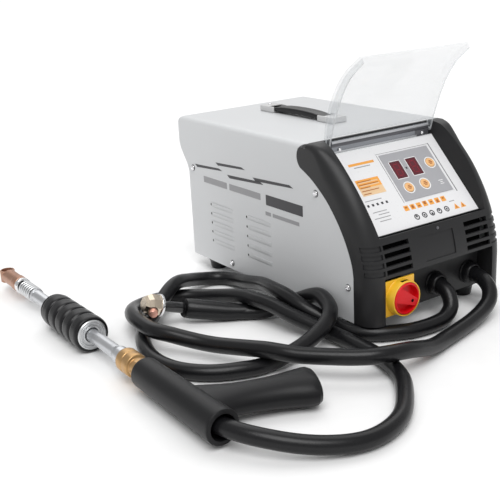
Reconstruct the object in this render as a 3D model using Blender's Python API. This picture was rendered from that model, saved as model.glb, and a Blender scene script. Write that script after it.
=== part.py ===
"""Spot welder for car body work: a steel cabinet with two welding cables, an earth clamp and a hammer gun.

All sizes below are in millimetres and all places are measured from the floor point under the middle of
the cabinet: +X to the right as seen from the front, +Y towards the back, +Z up. The cabinet's front faces
-Y. One empty carries everything, and it sets the part's origin under the middle of the whole outline.
"""
import math

import bmesh
import bpy
from mathutils import Matrix, Vector

MM = 0.001
GAP = 0.3

# Place of the cabinet's middle in the part's own frame.
CABINET_AT = (139.9, 3.6)

# Cabinet
HALF_WIDTH = 115.0
BASE_Z = 20.0
TOP_Z = 226.0
FRONT_Y = -206.0
SHELL_FRONT_Y = -177.0
REAR_Y = 208.5
REAR_FOOT_Y = 186.0
SHEET = 1.5
FOLD_RADIUS = 6.0
REAR_RADIUS = 6.5

# Front moulding
BEZEL_TOP_Y = -92.0
BEZEL_WALL = 3.0
COLUMN_RADIUS = 22.0
EAR_RADIUS = 17.5
PANEL_HALF = 88.0
RECESS_HALF = 92.0
RECESS_TOP = 78.0
OUTPUT_Y = -182.0

# Sloped control plate: its top edge, its direction downhill and its length
PLATE_TOP = (-104.0, 209.0)
PLATE_BOTTOM = (-188.0, 124.0)
PLATE_HALF = 84.0
PLATE_THICK = 1.5

# Hinge of the clear cover
HINGE_Y = -99.3
HINGE_Z = 217.0
HINGE_BAR_HALF = 82.0

# Isolator switch
SWITCH_X = -68.5
SWITCH_Z = 52.0

# Cables and their glands
CABLE_RADIUS = 9.5
CABLE_STEP = 18.8
GUN_GLAND_X = 73.0
EARTH_GLAND_X = 12.0
GLAND_Z = 42.5
GLAND_BACK_Y = -183.8
GLAND_TIP_Y = -196.0

# Gun, lying along Y
GUN_X = -375.0
GUN_Z = 22.8

# Cable routes, from the gland to the far end
GUN_ROUTE = (
    (73, -190, 42.5), (73, -197, 42.5), (71.5, -210, 40), (66.5, -226, 33), (60, -234, 26),
    (48, -239, 19.4), (31, -244, 14.5), (4, -251, 11.6), (-26, -258, 10.5), (-56, -265, 10.4),
    (-86, -274, 14), (-128, -283, 26.5), (-164, -281, 31), (-191, -263, 30.2), (-233, -219, 30),
    (-249, -192, 31), (-274, -126, 21.5), (-291, -98, 23), (-309, -76, 28.5), (-321, -48, 30.2),
    (-312, 14, 26.7), (-275, 64, 13.5), (-225, 71.5, 10), (-188, 36, 12), (-175, -26, 27),
    (-173, -60, 31), (-167, -86, 29.6), (-163, -118, 25), (-143, -172, 13), (-139, -215, 11),
    (-140, -250, 10), (-149, -284, 10), (-167, -316, 10), (-217, -363, 10), (-270, -376, 10.3),
    (-318, -357, 14), (-356, -322, 20.5), (-374, -286, 22.8), (-375, -268, 22.8), (-375, -258, 22.8),
)
EARTH_ROUTE = (
    (12, -190, 42.5), (12, -197, 42), (11.3, -207, 37), (9.2, -215, 29.4), (4.5, -220, 21),
    (-5, -223, 14.4), (-22, -224.5, 11.2), (-42, -223.5, 10.2), (-64, -219.5, 10), (-84, -210, 10.2),
    (-104, -197, 10.2), (-119, -171, 10.2), (-127, -146, 16), (-142, -118, 28.5), (-147, -87, 38),
    (-142, -50, 36), (-132, -12, 29), (-128, 26, 20), (-123, 62, 12), (-130, 86, 10),
    (-151, 97, 11.2), (-178, 91, 18), (-226, 58, 32.2), (-270, 30, 16), (-311, -12, 10.2),
    (-327, -41, 10.1), (-337, -74, 10), (-338, -105, 10), (-329, -134, 10), (-307, -160, 10),
    (-276, -177, 10.5), (-244, -183, 10.4), (-189, -180, 18), (-148, -171, 34.5), (-132, -150, 41),
    (-124.5, -120, 43), (-130, -74, 21.5), (-163, -53, 10.3), (-200, -27, 12.5), (-206.5, -22.6, 13.5),
)

# Earth fitting: where the boot starts, where it ends and the middle of the clamp block
BOOT_START = (-198.5, -28.0, 12.3)
BOOT_END = (-244.5, 2.0, 20.5)
CLAMP_MIDDLE = (-286.5, 5.5, 35.0)
CLAMP_LENGTH = 27.0


# ---------------------------------------------------------------- scene and materials

def clear_scene():
    for obj in list(bpy.data.objects):
        bpy.data.objects.remove(obj, do_unlink=True)


def material(name, colour, roughness, metallic=0.0, alpha=1.0):
    found = bpy.data.materials.get(name)
    if found:
        return found
    made = bpy.data.materials.new(name)
    made.use_nodes = True
    shader = made.node_tree.nodes["Principled BSDF"]
    shader.inputs["Base Color"].default_value = (*colour, 1.0)
    shader.inputs["Roughness"].default_value = roughness
    shader.inputs["Metallic"].default_value = metallic
    shader.inputs["Alpha"].default_value = alpha
    return made


def palette():
    return {
        "grey_paint": material("grey_paint", (0.50, 0.51, 0.51), 0.45),
        "black_plastic": material("black_plastic", (0.025, 0.025, 0.027), 0.38),
        "black_rubber": material("black_rubber", (0.022, 0.022, 0.023), 0.6),
        "white_plate": material("white_plate", (0.82, 0.82, 0.82), 0.35),
        "grey_field": material("grey_field", (0.42, 0.44, 0.45), 0.4),
        "red_window": material("red_window", (0.16, 0.004, 0.01), 0.2),
        "orange_button": material("orange_button", (0.85, 0.36, 0.07), 0.4),
        "bar_grey": material("bar_grey", (0.18, 0.19, 0.2), 0.25, 0.4),
        "clear_plastic": material("clear_plastic", (0.95, 0.96, 0.97), 0.05, 0.0, 0.3),
        "yellow_plastic": material("yellow_plastic", (0.88, 0.52, 0.03), 0.35),
        "red_plastic": material("red_plastic", (0.72, 0.02, 0.03), 0.3),
        "zinc_steel": material("zinc_steel", (0.68, 0.69, 0.7), 0.3, 1.0),
        "chrome": material("chrome", (0.8, 0.8, 0.8), 0.12, 1.0),
        "brass": material("brass", (0.66, 0.44, 0.2), 0.28, 1.0),
        "copper": material("copper", (0.66, 0.32, 0.22), 0.32, 1.0),
        "core_steel": material("core_steel", (0.2, 0.2, 0.22), 0.5, 0.8),
        "insulation": material("insulation", (0.55, 0.42, 0.22), 0.6),
        "board_green": material("board_green", (0.03, 0.2, 0.09), 0.5),
        "handle_grey": material("handle_grey", (0.68, 0.68, 0.68), 0.35),
    }


# ---------------------------------------------------------------- mesh helpers

def make_object(name, mesh_data, mat, origin=(0, 0, 0), sharp=35.0):
    """Turn a bmesh in millimetres, drawn about origin, into a named object of the part."""
    bmesh.ops.recalc_face_normals(mesh_data, faces=mesh_data.faces)
    mesh_data.transform(Matrix.Scale(MM, 4))
    mesh = bpy.data.meshes.new(name)
    mesh_data.to_mesh(mesh)
    mesh_data.free()
    mesh.shade_smooth()
    mesh.set_sharp_from_angle(angle=math.radians(sharp))
    obj = bpy.data.objects.new(name, mesh)
    bpy.context.collection.objects.link(obj)
    obj.location = Vector(origin) * MM
    if mat:
        mesh.materials.append(mat)
    return obj


def box(name, low, high, mat=None, bevel=0.0):
    mesh_data = bmesh.new()
    centre = (Vector(low) + Vector(high)) / 2
    size = Vector(high) - Vector(low)
    bmesh.ops.create_cube(mesh_data, size=1.0, matrix=Matrix.Diagonal((*size, 1.0)))
    if bevel:
        bmesh.ops.bevel(mesh_data, geom=mesh_data.edges[:], offset=bevel, segments=2, profile=0.5,
                        affect='EDGES', clamp_overlap=True)
    return make_object(name, mesh_data, mat, centre)


def loft(name, rings, mat=None, origin=(0, 0, 0), closed_ends=True, closed_loop=False, sharp=35.0):
    """Skin a list of rings that all have the same number of points."""
    mesh_data = bmesh.new()
    start = Vector(origin)
    layers = [[mesh_data.verts.new(Vector(point) - start) for point in ring] for ring in rings]
    count = len(rings[0])
    pairs = list(zip(layers, layers[1:]))
    if closed_loop:
        pairs.append((layers[-1], layers[0]))
    for one, two in pairs:
        for i in range(count):
            j = (i + 1) % count
            mesh_data.faces.new((one[i], one[j], two[j], two[i]))
    if closed_ends and not closed_loop:
        mesh_data.faces.new(layers[0])
        mesh_data.faces.new(layers[-1])
    return make_object(name, mesh_data, mat, origin, sharp)


def prism(name, outline, x_low, x_high, mat=None):
    """Extrude an outline of (y, z) points along X."""
    rings = [[(x, y, z) for y, z in outline] for x in (x_low, x_high)]
    return loft(name, rings, mat)


def circle_ring(centre, axis, radius, count, stretch=1.0, roll=0.0):
    """Points of a circle about a centre, or of an ellipse when stretch is not one."""
    along = Vector(axis).normalized()
    side = along.cross(Vector((0, 0, 1)))
    side = side.normalized() if side.length > 0.01 else Vector((1, 0, 0))
    up = side.cross(along)
    ring = []
    for i in range(count):
        angle = roll + 2 * math.pi * i / count
        across = side * radius * stretch * math.cos(angle)
        ring.append(Vector(centre) + across + up * radius * math.sin(angle))
    return ring


def turned(name, profile, at, axis, mat=None, count=24, ring_shaped=False, sharp=35.0):
    """Turn a profile of (radius, height) pairs about an axis through at."""
    along = Vector(axis).normalized()
    centre = Vector(at)
    rings = [circle_ring(centre + along * height, along, radius, count) for radius, height in profile]
    return loft(name, rings, mat, at, closed_loop=ring_shaped, sharp=sharp)


def cylinder(name, at, axis, radius, length, mat=None, count=24):
    return turned(name, ((radius, 0), (radius, length)), at, axis, mat, count)


def smooth_curve(points, steps):
    """Catmull-Rom curve through hand-set points, with a number of steps in each stretch."""
    path = [Vector(point) for point in points]
    last = len(path) - 1
    curve = []
    for i in range(last):
        before = path[max(i - 1, 0)]
        start = path[i]
        end = path[i + 1]
        after = path[min(i + 2, last)]
        for k in range(steps):
            t = k / steps
            curve.append(0.5 * (2 * start + (end - before) * t
                                + (2 * before - 5 * start + 4 * end - after) * t * t
                                + (3 * start - before - 3 * end + after) * t ** 3))
    curve.append(path[-1])
    return curve


def arc(centre_y, centre_z, radius, start, stop, steps):
    """Points of an arc in the (y, z) plane, angles in degrees from +Y towards +Z."""
    points = []
    for i in range(steps + 1):
        angle = math.radians(start + (stop - start) * i / steps)
        points.append((centre_y + radius * math.cos(angle), centre_z + radius * math.sin(angle)))
    return points


def boolean(target, tool, operation='DIFFERENCE'):
    """Apply one exact Boolean and remove the tool."""
    modifier = target.modifiers.new("boolean", 'BOOLEAN')
    modifier.object = tool
    modifier.operation = operation
    modifier.solver = 'EXACT'
    bpy.context.view_layer.update()
    evaluated = target.evaluated_get(bpy.context.evaluated_depsgraph_get())
    mesh = bpy.data.meshes.new_from_object(evaluated)
    target.modifiers.clear()
    target.data = mesh
    bpy.data.objects.remove(tool, do_unlink=True)
    mesh.shade_smooth()
    mesh.set_sharp_from_angle(angle=math.radians(35.0))
    return target


def cut_all(target, tools):
    for tool in tools:
        boolean(target, tool)
    return target


def plate_point(x, down, out):
    """A point by its place on the sloped control plate: across, downhill and out of the surface."""
    top = Vector((0, *PLATE_TOP))
    run = Vector((0, *PLATE_BOTTOM)) - top
    slope = run.normalized()
    outward = Vector((0, slope.z, -slope.y))
    return top + slope * down + outward * out + Vector((x, 0, 0))


def plate_axis():
    return plate_point(0, 0, 1) - plate_point(0, 0, 0)


def plate_block(name, x_low, x_high, down_low, down_high, out_low, out_high, mat=None):
    """A block whose faces follow the sloped control plate."""
    rings = []
    for x in (x_low, x_high):
        corners = ((down_low, out_low), (down_high, out_low), (down_high, out_high), (down_low, out_high))
        rings.append([plate_point(x, down, out) for down, out in corners])
    centre = plate_point((x_low + x_high) / 2, (down_low + down_high) / 2, (out_low + out_high) / 2)
    return loft(name, rings, mat, centre)


# ---------------------------------------------------------------- cabinet

def shell_front_edge(gap=0.0):
    """Side view of the shell's front edge, from the top down: a round ear, then a long bow."""
    ear = arc(BEZEL_TOP_Y, TOP_Z - EAR_RADIUS, EAR_RADIUS - gap, 90, -50, 8)
    bow = ((-99, 186), (-113, 176.5), (-129, 163.5), (-144, 147), (-157, 129), (-167.5, 110), (-174.5, 92),
           (SHELL_FRONT_Y, 78))
    return ear + [(y - 1.5 * gap, z) for y, z in bow]


def shell_rear_edge():
    """Side view of the rear edge, from the floor up: the foot, the overhang and the rounded top."""
    step = [(REAR_FOOT_Y, BASE_Z), (REAR_FOOT_Y, 146), (190, 157), (204, 176), (REAR_Y, 188)]
    return step + arc(REAR_Y - REAR_RADIUS, TOP_Z - REAR_RADIUS, REAR_RADIUS, 0, 90, 3)


def fold_cutters():
    """Tools that round the two long top edges of the casing."""
    tools = []
    for side in (-1, 1):
        rings = []
        for y in (-250, 250):
            curve = arc(HALF_WIDTH - FOLD_RADIUS, TOP_Z - FOLD_RADIUS, FOLD_RADIUS, 0, 90, 4)
            curve[0] = (HALF_WIDTH + 1, TOP_Z - FOLD_RADIUS - 1.5)
            curve[-1] = (HALF_WIDTH - FOLD_RADIUS - 1.5, TOP_Z + 1)
            rings.append([(side * x, y, z) for x, z in curve + [(HALF_WIDTH + 9, TOP_Z + 9)]])
        tools.append(loft("fold", rings))
    return tools


def louvre_places():
    for start in (74.5, -15.0):
        for row in range(5):
            yield start, 52.5 + 13.6 * row


def screw_places():
    return ((174.0, 153.4), (-110.4, 168.0), (83.0, 29.5), (-167.5, 63.0))


def build_shell(mats):
    outline = [(SHELL_FRONT_Y, BASE_Z)] + shell_rear_edge() + shell_front_edge()
    shell = prism("shell_cover", outline, -HALF_WIDTH, HALF_WIDTH, mats["grey_paint"])
    under = TOP_Z - SHEET
    hollow = [(-300, under), (201.7, under), (206.7, 219.5), (206.7, 217.5), (230, 217.5), (230, 0),
              (-300, 0)]
    below_fold = [(-300, 219.0), (206.7, 219.0), (206.7, 217.5), (230, 217.5), (230, 0), (-300, 0)]
    tools = fold_cutters()
    tools.append(prism("shell_hollow", hollow, -HALF_WIDTH + FOLD_RADIUS, HALF_WIDTH - FOLD_RADIUS))
    tools.append(prism("shell_sides", below_fold, -HALF_WIDTH + SHEET, HALF_WIDTH - SHEET))
    for side in (-1, 1):
        x = side * HALF_WIDTH
        for y, z in louvre_places():
            tools.append(box("louvre", (x - 4, y, z - 1.6), (x + 4, y + 54, z + 1.6)))
        for y, z in screw_places():
            tools.append(cylinder("screw_hole", (x - 4, y, z), (1, 0, 0), 2.2, 8, count=12))
    return cut_all(shell, tools)


def build_tray(mats):
    half = HALF_WIDTH - SHEET - GAP
    front = SHELL_FRONT_Y + 1
    back = REAR_FOOT_Y - SHEET - GAP
    tray = box("base_tray", (-half, front, BASE_Z), (half, back, BASE_Z + 15), mats["grey_paint"])
    tools = [box("tray_hollow", (-half + SHEET, front + SHEET, BASE_Z + SHEET),
                 (half - SHEET, back + 5, BASE_Z + 30))]
    for side in (-1, 1):
        tools.append(cylinder("tray_hole", (side * half - 4, 83.0, 29.5), (1, 0, 0), 2.2, 8, count=12))
    return cut_all(tray, tools)


def build_rear_panel(mats):
    outer = [(REAR_FOOT_Y, BASE_Z + GAP), (REAR_FOOT_Y, 146), (190, 157), (204, 176), (REAR_Y - 0.3, 188),
             (REAR_Y - 0.3, 217.2)]
    inner = [(y - SHEET, z) for y, z in reversed(outer)]
    half = HALF_WIDTH - SHEET - GAP
    panel = prism("rear_panel", outer + inner, -half, half, mats["grey_paint"])
    tools = [cylinder("fan_hole", (0, REAR_FOOT_Y - 5, FAN_Z), (0, 1, 0), FAN_RADIUS + 2, 10, count=32),
             cylinder("inlet_hole", (-75, REAR_FOOT_Y - 5, 45), (0, 1, 0), 8.3, 10, count=20)]
    return cut_all(panel, tools)


def bezel_outline():
    """Side view of the columns' front, from the top back edge down to the base."""
    bow = [(0, -100, 226), (0, -113, 222.5), (0, -125, 214.5), (0, -137, 204.5), (0, -150, 192),
           (0, -163, 177.5), (0, -175, 161), (0, -186, 143), (0, -195, 124), (0, -202, 104),
           (0, -206.5, 84), (0, -208, 66)]
    curve = [(point.y, point.z) for point in smooth_curve(bow, 2)]
    return [(BEZEL_TOP_Y - GAP, TOP_Z)] + curve + [(-208, BASE_Z + GAP)]


def inward_normals(outline):
    """Normals on the left of the way along an outline of (y, z) points."""
    normals = []
    for i in range(len(outline)):
        before = Vector(outline[max(i - 1, 0)])
        after = Vector(outline[min(i + 1, len(outline) - 1)])
        run = (after - before).normalized()
        normals.append(Vector((-run.y, run.x)))
    return normals


def bezel_block(name, half, radius, wall, back, mat=None):
    """The front moulding's outer form, set in by a wall: columns rounded on their outer edges."""
    outline = bezel_outline()
    normals = inward_normals(outline)
    rings = []
    for side in (-1, 1):
        for i in range(7):
            angle = math.radians(90 * i / 6)
            depth = radius * (1 - math.sin(angle))
            x = side * (half - radius + radius * math.cos(angle))
            front = [(x, y + n.x * (depth + wall), z + n.y * (depth + wall))
                     for (y, z), n in zip(outline, normals)]
            rings.append(front + [(x, y, z) for y, z in back])
    rings = rings[:7] + rings[:6:-1]
    return loft(name, rings, mat)


def build_bezel(mats):
    edge = shell_front_edge(gap=GAP)[::-1]
    back = [(SHELL_FRONT_Y - 1.5 * GAP, BASE_Z + GAP)] + edge
    bezel = bezel_block("front_bezel", HALF_WIDTH, COLUMN_RADIUS, 0.0, back, mats["black_plastic"])
    open_back = [(-120, 0), (-60, 100), (-60, 222), (-90, 222)]
    cavity = bezel_block("cavity", HALF_WIDTH - BEZEL_WALL, COLUMN_RADIUS - BEZEL_WALL, BEZEL_WALL, open_back)
    floor = plate_point(0, 0, -PLATE_THICK - GAP)
    foot = plate_point(0, 119.5, -PLATE_THICK - GAP)
    tub_outer = [(-93.5, 250), (-93.5, 205.0), (floor.y + 1, 204.7), (foot.y + 2, foot.z - 3), (-189, 121.5),
                 (-240, 121.5), (-240, 250)]
    cavity = boolean(cavity, prism("tub_outer", tub_outer, -PANEL_HALF - 2.5, PANEL_HALF + 2.5))
    recess_side = RECESS_HALF + 2.5
    recess_outer = box("recess_outer", (-recess_side, -240, -10), (recess_side, OUTPUT_Y, RECESS_TOP + 3))
    cavity = boolean(cavity, recess_outer)
    tub = [(-96, 250), (-96, 207.8), (floor.y, floor.z), (foot.y, foot.z), (-188.6, 124.5), (-240, 124.5),
           (-240, 250)]
    tools = fold_cutters()
    tools += [cavity, prism("tub", tub, -PANEL_HALF, PANEL_HALF),
              box("recess", (-RECESS_HALF, -240, -10), (RECESS_HALF, -150, RECESS_TOP)),
              plate_block("window", -19, 67, 14, 85, -12, 5)]
    for side in (-1, 1):
        for row in range(4):
            z = 84.8 + 9.65 * row
            ends = sorted((side * 47, side * 90))
            tools.append(box("vent", (ends[0], -230, z - 2.2), (ends[1], -195, z + 2.2)))
    return cut_all(bezel, tools)


def build_output_panel(mats):
    low = (-RECESS_HALF + GAP, OUTPUT_Y - 1.5, BASE_Z + 1)
    high = (RECESS_HALF - GAP, OUTPUT_Y + 0.5, RECESS_TOP - GAP)
    panel = box("output_panel", low, high, mats["black_plastic"])
    tools = []
    for x in (GUN_GLAND_X, EARTH_GLAND_X):
        tools.append(cylinder("gland_hole", (x, -190, GLAND_Z), (0, 1, 0), 12.4, 20))
    low = (SWITCH_X - 20.3, -190, SWITCH_Z - 15.8)
    high = (SWITCH_X + 20.3, -170, SWITCH_Z + 15.8)
    tools.append(box("switch_hole", low, high))
    return cut_all(panel, tools)


def build_foot(name, x, y, mats):
    profile = ((11.0, 0), (12.0, 1), (14.0, 17), (14.0, BASE_Z - GAP))
    return turned(name, profile, (x, y, 0), (0, 0, 1), mats["black_rubber"], count=20)


def build_screw(name, side, y, z, mats):
    start = side * (HALF_WIDTH + GAP)
    profile = ((1.8, -6.0), (1.8, 0), (3.9, 0), (3.7, 1.2), (2.4, 2.1), (0.9, 2.3))
    return turned(name, profile, (start, y, z), (side, 0, 0), mats["chrome"], count=12)


def build_casing(mats):
    build_shell(mats)
    build_tray(mats)
    build_rear_panel(mats)
    build_bezel(mats)
    build_output_panel(mats)
    corners = [(x, y) for x in (-92, 92) for y in (-158, 155)]
    for i, (x, y) in enumerate(corners, 1):
        build_foot(f"foot_{i}", x, y, mats)
    places = [(side, y, z) for side in (-1, 1) for y, z in screw_places()]
    for i, (side, y, z) in enumerate(places, 1):
        build_screw(f"screw_{i}", side, y, z, mats)


# ---------------------------------------------------------------- handle

HANDLE_REAR_Y = 144.0
HANDLE_FRONT_Y = -21.0
BRACKET_LENGTH = 33.0


def build_bracket(name, closed_y, open_y, mats):
    """A low box on the roof, open on the side where the strap goes in."""
    low_y, high_y = sorted((closed_y, open_y))
    low_z = TOP_Z + GAP
    bracket = box(name, (-12.5, low_y, low_z), (12.5, high_y, 234.5), mats["handle_grey"], bevel=1.0)
    inward = 3.0 if open_y > closed_y else -3.0
    mouth = open_y + (5.0 if open_y > closed_y else -5.0)
    pocket_y = sorted((closed_y + inward, mouth))
    return boolean(bracket, box("pocket", (-10.9, pocket_y[0], low_z + 1.5), (10.9, pocket_y[1], 233.3)))


def build_handle(mats):
    build_bracket("handle_bracket_rear", HANDLE_REAR_Y, HANDLE_REAR_Y - BRACKET_LENGTH, mats)
    build_bracket("handle_bracket_front", HANDLE_FRONT_Y, HANDLE_FRONT_Y + BRACKET_LENGTH, mats)
    stations = ((-14, 228.2, 231.2), (4, 228.2, 231.8), (15, 228.6, 233.6), (28, 229.4, 235.4),
                (61.5, 230.4, 236.6), (95, 229.4, 235.4), (108, 228.6, 233.6), (119, 228.2, 231.8),
                (137, 228.2, 231.2))
    rings = []
    for y, low, high in stations:
        rings.append([(-9.6, y, low + 0.8), (-8.8, y, low), (8.8, y, low), (9.6, y, low + 0.8),
                      (9.6, y, high - 1.2), (8.2, y, high), (-8.2, y, high), (-9.6, y, high - 1.2)])
    loft("handle_strap", rings, mats["black_rubber"])


# ---------------------------------------------------------------- control panel

BUTTONS = ((54.7, 40.0), (0.0, 67.0), (27.2, 67.0))
DISPLAYS = (-0.2, 27.2)
BUTTON_RADIUS = 6.6
FIELD_THICK = 0.5


def panel_openings(out_low, out_high):
    """Cutters for the two windows and the three buttons."""
    tools = [plate_block("window", x - 8.8, x + 8.8, 27.2, 52.8, out_low, out_high) for x in DISPLAYS]
    for x, down in BUTTONS:
        tools.append(cylinder("button_hole", plate_point(x, down, out_low), plate_axis(), BUTTON_RADIUS + 0.4,
                              out_high - out_low))
    return tools


def build_panel(mats):
    plate = plate_block("control_plate", -PLATE_HALF, PLATE_HALF, -1.0, 118.6, -PLATE_THICK, 0.0,
                        mats["white_plate"])
    cut_all(plate, panel_openings(-5, 5))
    field = plate_block("display_field", -17.5, 65.2, 15.0, 84.2, GAP, GAP + FIELD_THICK, mats["grey_field"])
    cut_all(field, panel_openings(-5, 5))
    for name, x in zip(("display_left", "display_right"), DISPLAYS):
        plate_block(name, x - 8.4, x + 8.4, 27.6, 52.4, -7.0, 0.5, mats["red_window"])
    for i, (x, down) in enumerate(BUTTONS, 1):
        profile = ((BUTTON_RADIUS, -3.5), (BUTTON_RADIUS, 1.4), (BUTTON_RADIUS - 0.8, 2.0), (2.0, 2.3))
        turned(f"button_{i}", profile, plate_point(x, down, 0), plate_axis(), mats["orange_button"], count=24)


def cover_curve():
    """Side view of the clear plate's back face as it stands open, from the hinge up."""
    bow = ((0, -94.0, 227.6), (0, -95.2, 238), (0, -99.5, 254), (0, -107, 273), (0, -119, 294),
           (0, -137, 314), (0, -161, 330.5))
    return [(point.y, point.z) for point in smooth_curve(bow, 2)]


def build_cover(mats):
    """Clear plate with a flange down each side: a thick side profile with its middle taken out."""
    thick = 2.4
    half = 87.0
    back = cover_curve()
    normals = inward_normals(back)
    front = [(y + n.x * thick, z + n.y * thick) for (y, z), n in zip(back, normals)]
    brim = []
    for i, ((y, z), n) in enumerate(zip(back, normals)):
        share = i / (len(back) - 1)
        depth = 11.0 + 5.0 * math.sin(math.pi * share) - 3.0 * share
        brim.append((y + n.x * depth, z + n.y * depth))
    knuckle = arc(HINGE_Y, HINGE_Z, 3.0, 200, 340, 5)
    outline = back + brim[:0:-1] + knuckle + [(-96.6, 226.8)]
    rings = [[(x, y, z) for y, z in outline] for x in (-half, half)]
    cover = loft("clear_cover", rings, mats["clear_plastic"], (0, HINGE_Y, HINGE_Z))
    beyond = (2 * front[-1][0] - front[-2][0], 2 * front[-1][1] - front[-2][1])
    middle = [(-80, 200), (-80, 228.3), (front[0][0], 228.3)] + front[1:] + [beyond, (-240, 345), (-240, 200)]
    boolean(cover, prism("middle", middle, -half + thick, half - thick))
    return boolean(cover, cylinder("pivot_hole", (-100, HINGE_Y, HINGE_Z), (1, 0, 0), 1.7, 200, count=16))


def build_hinge(mats):
    low = (-HINGE_BAR_HALF, HINGE_Y - 3, 209.5)
    high = (HINGE_BAR_HALF, HINGE_Y + 3, 224.6)
    bar = box("hinge_bar", low, high, mats["bar_grey"], bevel=0.8)
    boolean(bar, cylinder("rod_hole", (-100, HINGE_Y, HINGE_Z), (1, 0, 0), 1.6, 200, count=16))
    cylinder("hinge_rod", (-87.6, HINGE_Y, HINGE_Z), (1, 0, 0), 1.3, 175.2, mats["zinc_steel"], count=16)


def build_switch(mats):
    low = (SWITCH_X - 23.3, -207, SWITCH_Z - 22.3)
    high = (SWITCH_X + 23.3, -204, SWITCH_Z + 22.3)
    plate = box("switch_plate", low, high, mats["yellow_plastic"], bevel=0.8)
    collar_at = (SWITCH_X, -206.5, SWITCH_Z)
    boolean(plate, cylinder("collar", collar_at, (0, -1, 0), 22.0, 12.5, count=32), 'UNION')
    boolean(plate, cylinder("bore", (SWITCH_X, -207.2, SWITCH_Z), (0, -1, 0), 20.2, 20, count=32))
    boolean(plate, cylinder("shaft_hole", (SWITCH_X, -200, SWITCH_Z), (0, -1, 0), 4.4, 20, count=16))
    knob_at = (SWITCH_X, -207.5, SWITCH_Z)
    knob = turned("switch_knob", ((19.6, 0), (19.6, 11.5), (18.8, 12.6), (2.0, 12.8)), knob_at, (0, -1, 0),
                  mats["red_plastic"], count=32)
    for side in (-1, 1):
        scoop = box("scoop", (side * 13 - 8, -222, SWITCH_Z - 11), (side * 13 + 8, -211, SWITCH_Z + 11))
        scoop.location.x += SWITCH_X * MM
        boolean(knob, scoop)
    boolean(knob, cylinder("knob_shaft", (SWITCH_X, -200, SWITCH_Z), (0, -1, 0), 4.0, 9, count=16), 'UNION')
    low = (SWITCH_X - 20, -203.7, SWITCH_Z - 15.5)
    high = (SWITCH_X + 20, -150, SWITCH_Z + 15.5)
    body = box("switch_body", low, high, mats["black_plastic"], bevel=1.0)
    boolean(body, cylinder("shaft_seat", (SWITCH_X, -199.7, SWITCH_Z), (0, -1, 0), 4.4, 20, count=16))


# ---------------------------------------------------------------- inside

FAN_Z = 95.0
FAN_RADIUS = 36.0


def build_transformer(mats):
    core = box("transformer_core", (-55, -30, 40), (55, 60, 150), mats["core_steel"], bevel=1.0)
    for x in (-21, 21):
        boolean(core, box("core_window", (x - 12, -40, 60), (x + 12, 70, 130)))
    coil = box("primary_coil", (-18, -48, 62), (18, 78, 92), mats["insulation"], bevel=4.0)
    boolean(coil, box("coil_hole", (-9.4, -30.4, 30), (9.4, 60.4, 160)))
    winding = box("secondary_coil", (-18, -50, 98), (18, 80, 128), mats["copper"], bevel=2.0)
    boolean(winding, box("winding_hole", (-9.4, -30.4, 30), (9.4, 60.4, 160)))


def build_busbars(mats):
    for name, x, low_x, high_x in (("busbar_gun", GUN_GLAND_X, 12, GUN_GLAND_X + 10),
                                   ("busbar_earth", EARTH_GLAND_X, -14, EARTH_GLAND_X + 10)):
        level = 106 if name == "busbar_gun" else 118
        front_y = -58 if level == 106 else -70
        across = box(name, (low_x, front_y, level), (high_x, -50.3, level + 4), mats["copper"])
        drop_y = -150
        boolean(across, box("run", (x - 8, drop_y, level), (x + 8, -52, level + 4)), 'UNION')
        boolean(across, box("drop", (x - 8, drop_y, 36), (x + 8, drop_y + 4, level + 2)), 'UNION')


def build_electronics(mats):
    sink = box("thyristor_module", (70, -20, 22), (100, 60, 62), mats["zinc_steel"])
    for row in range(5):
        boolean(sink, box("fin_gap", (86, -30, 26.5 + 7 * row), (110, 70, 30.5 + 7 * row)))
    boolean(sink, box("module", (56, 0, 30), (71, 40, 54)), 'UNION')
    box("control_board", (-104, -120, 45), (-102, 60, 150), mats["board_green"])


def build_fan(mats):
    face_y = REAR_FOOT_Y - SHEET - GAP
    low = (-40, face_y - 25, FAN_Z - 40)
    frame = box("fan_frame", low, (40, face_y, FAN_Z + 40), mats["black_plastic"], bevel=2.0)
    boolean(frame, cylinder("duct", (0, face_y - 30, FAN_Z), (0, 1, 0), FAN_RADIUS + 1, 40, count=32))
    bar = box("bar", (-38.5, face_y - 24.5, FAN_Z - 3), (38.5, face_y - 21.5, FAN_Z + 3))
    boolean(frame, bar, 'UNION')
    hub_at = (0, face_y - 20.5, FAN_Z)
    rotor = cylinder("fan_rotor", hub_at, (0, 1, 0), 14, 17, mats["black_plastic"], count=24)
    for i in range(7):
        blade = box("blade", (-1.0, -7.0, 0), (1.0, 7.0, 21))
        turn = Matrix.Rotation(2 * math.pi * i / 7, 4, 'Y') @ Matrix.Translation((0, 0, 0.023))
        tilt = Matrix.Rotation(math.radians(38), 4, 'Z')
        blade.matrix_world = Matrix.Translation(Vector((0, face_y - 12, FAN_Z)) * MM) @ turn @ tilt
        boolean(rotor, blade, 'UNION')
    guard_y = REAR_FOOT_Y + GAP
    guard = turned("fan_guard", ((41, 0), (41, 2), (37, 2), (37, 0)), (0, guard_y, FAN_Z), (0, 1, 0),
                   mats["zinc_steel"], count=32, ring_shaped=True)
    for radius in (29, 20, 11):
        ring = turned("ring", ((radius, 0.2), (radius, 1.8), (radius - 1.8, 1.8), (radius - 1.8, 0.2)),
                      (0, guard_y, FAN_Z), (0, 1, 0), count=24, ring_shaped=True)
        boolean(guard, ring, 'UNION')
    for angle in (0, 60, 120):
        spoke = box("spoke", (-38, -0.7, -1.2), (38, 0.7, 1.2))
        spoke.matrix_world = (Matrix.Translation(Vector((0, guard_y + 1, FAN_Z)) * MM)
                              @ Matrix.Rotation(math.radians(angle), 4, 'Y'))
        boolean(guard, spoke, 'UNION')


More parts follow.
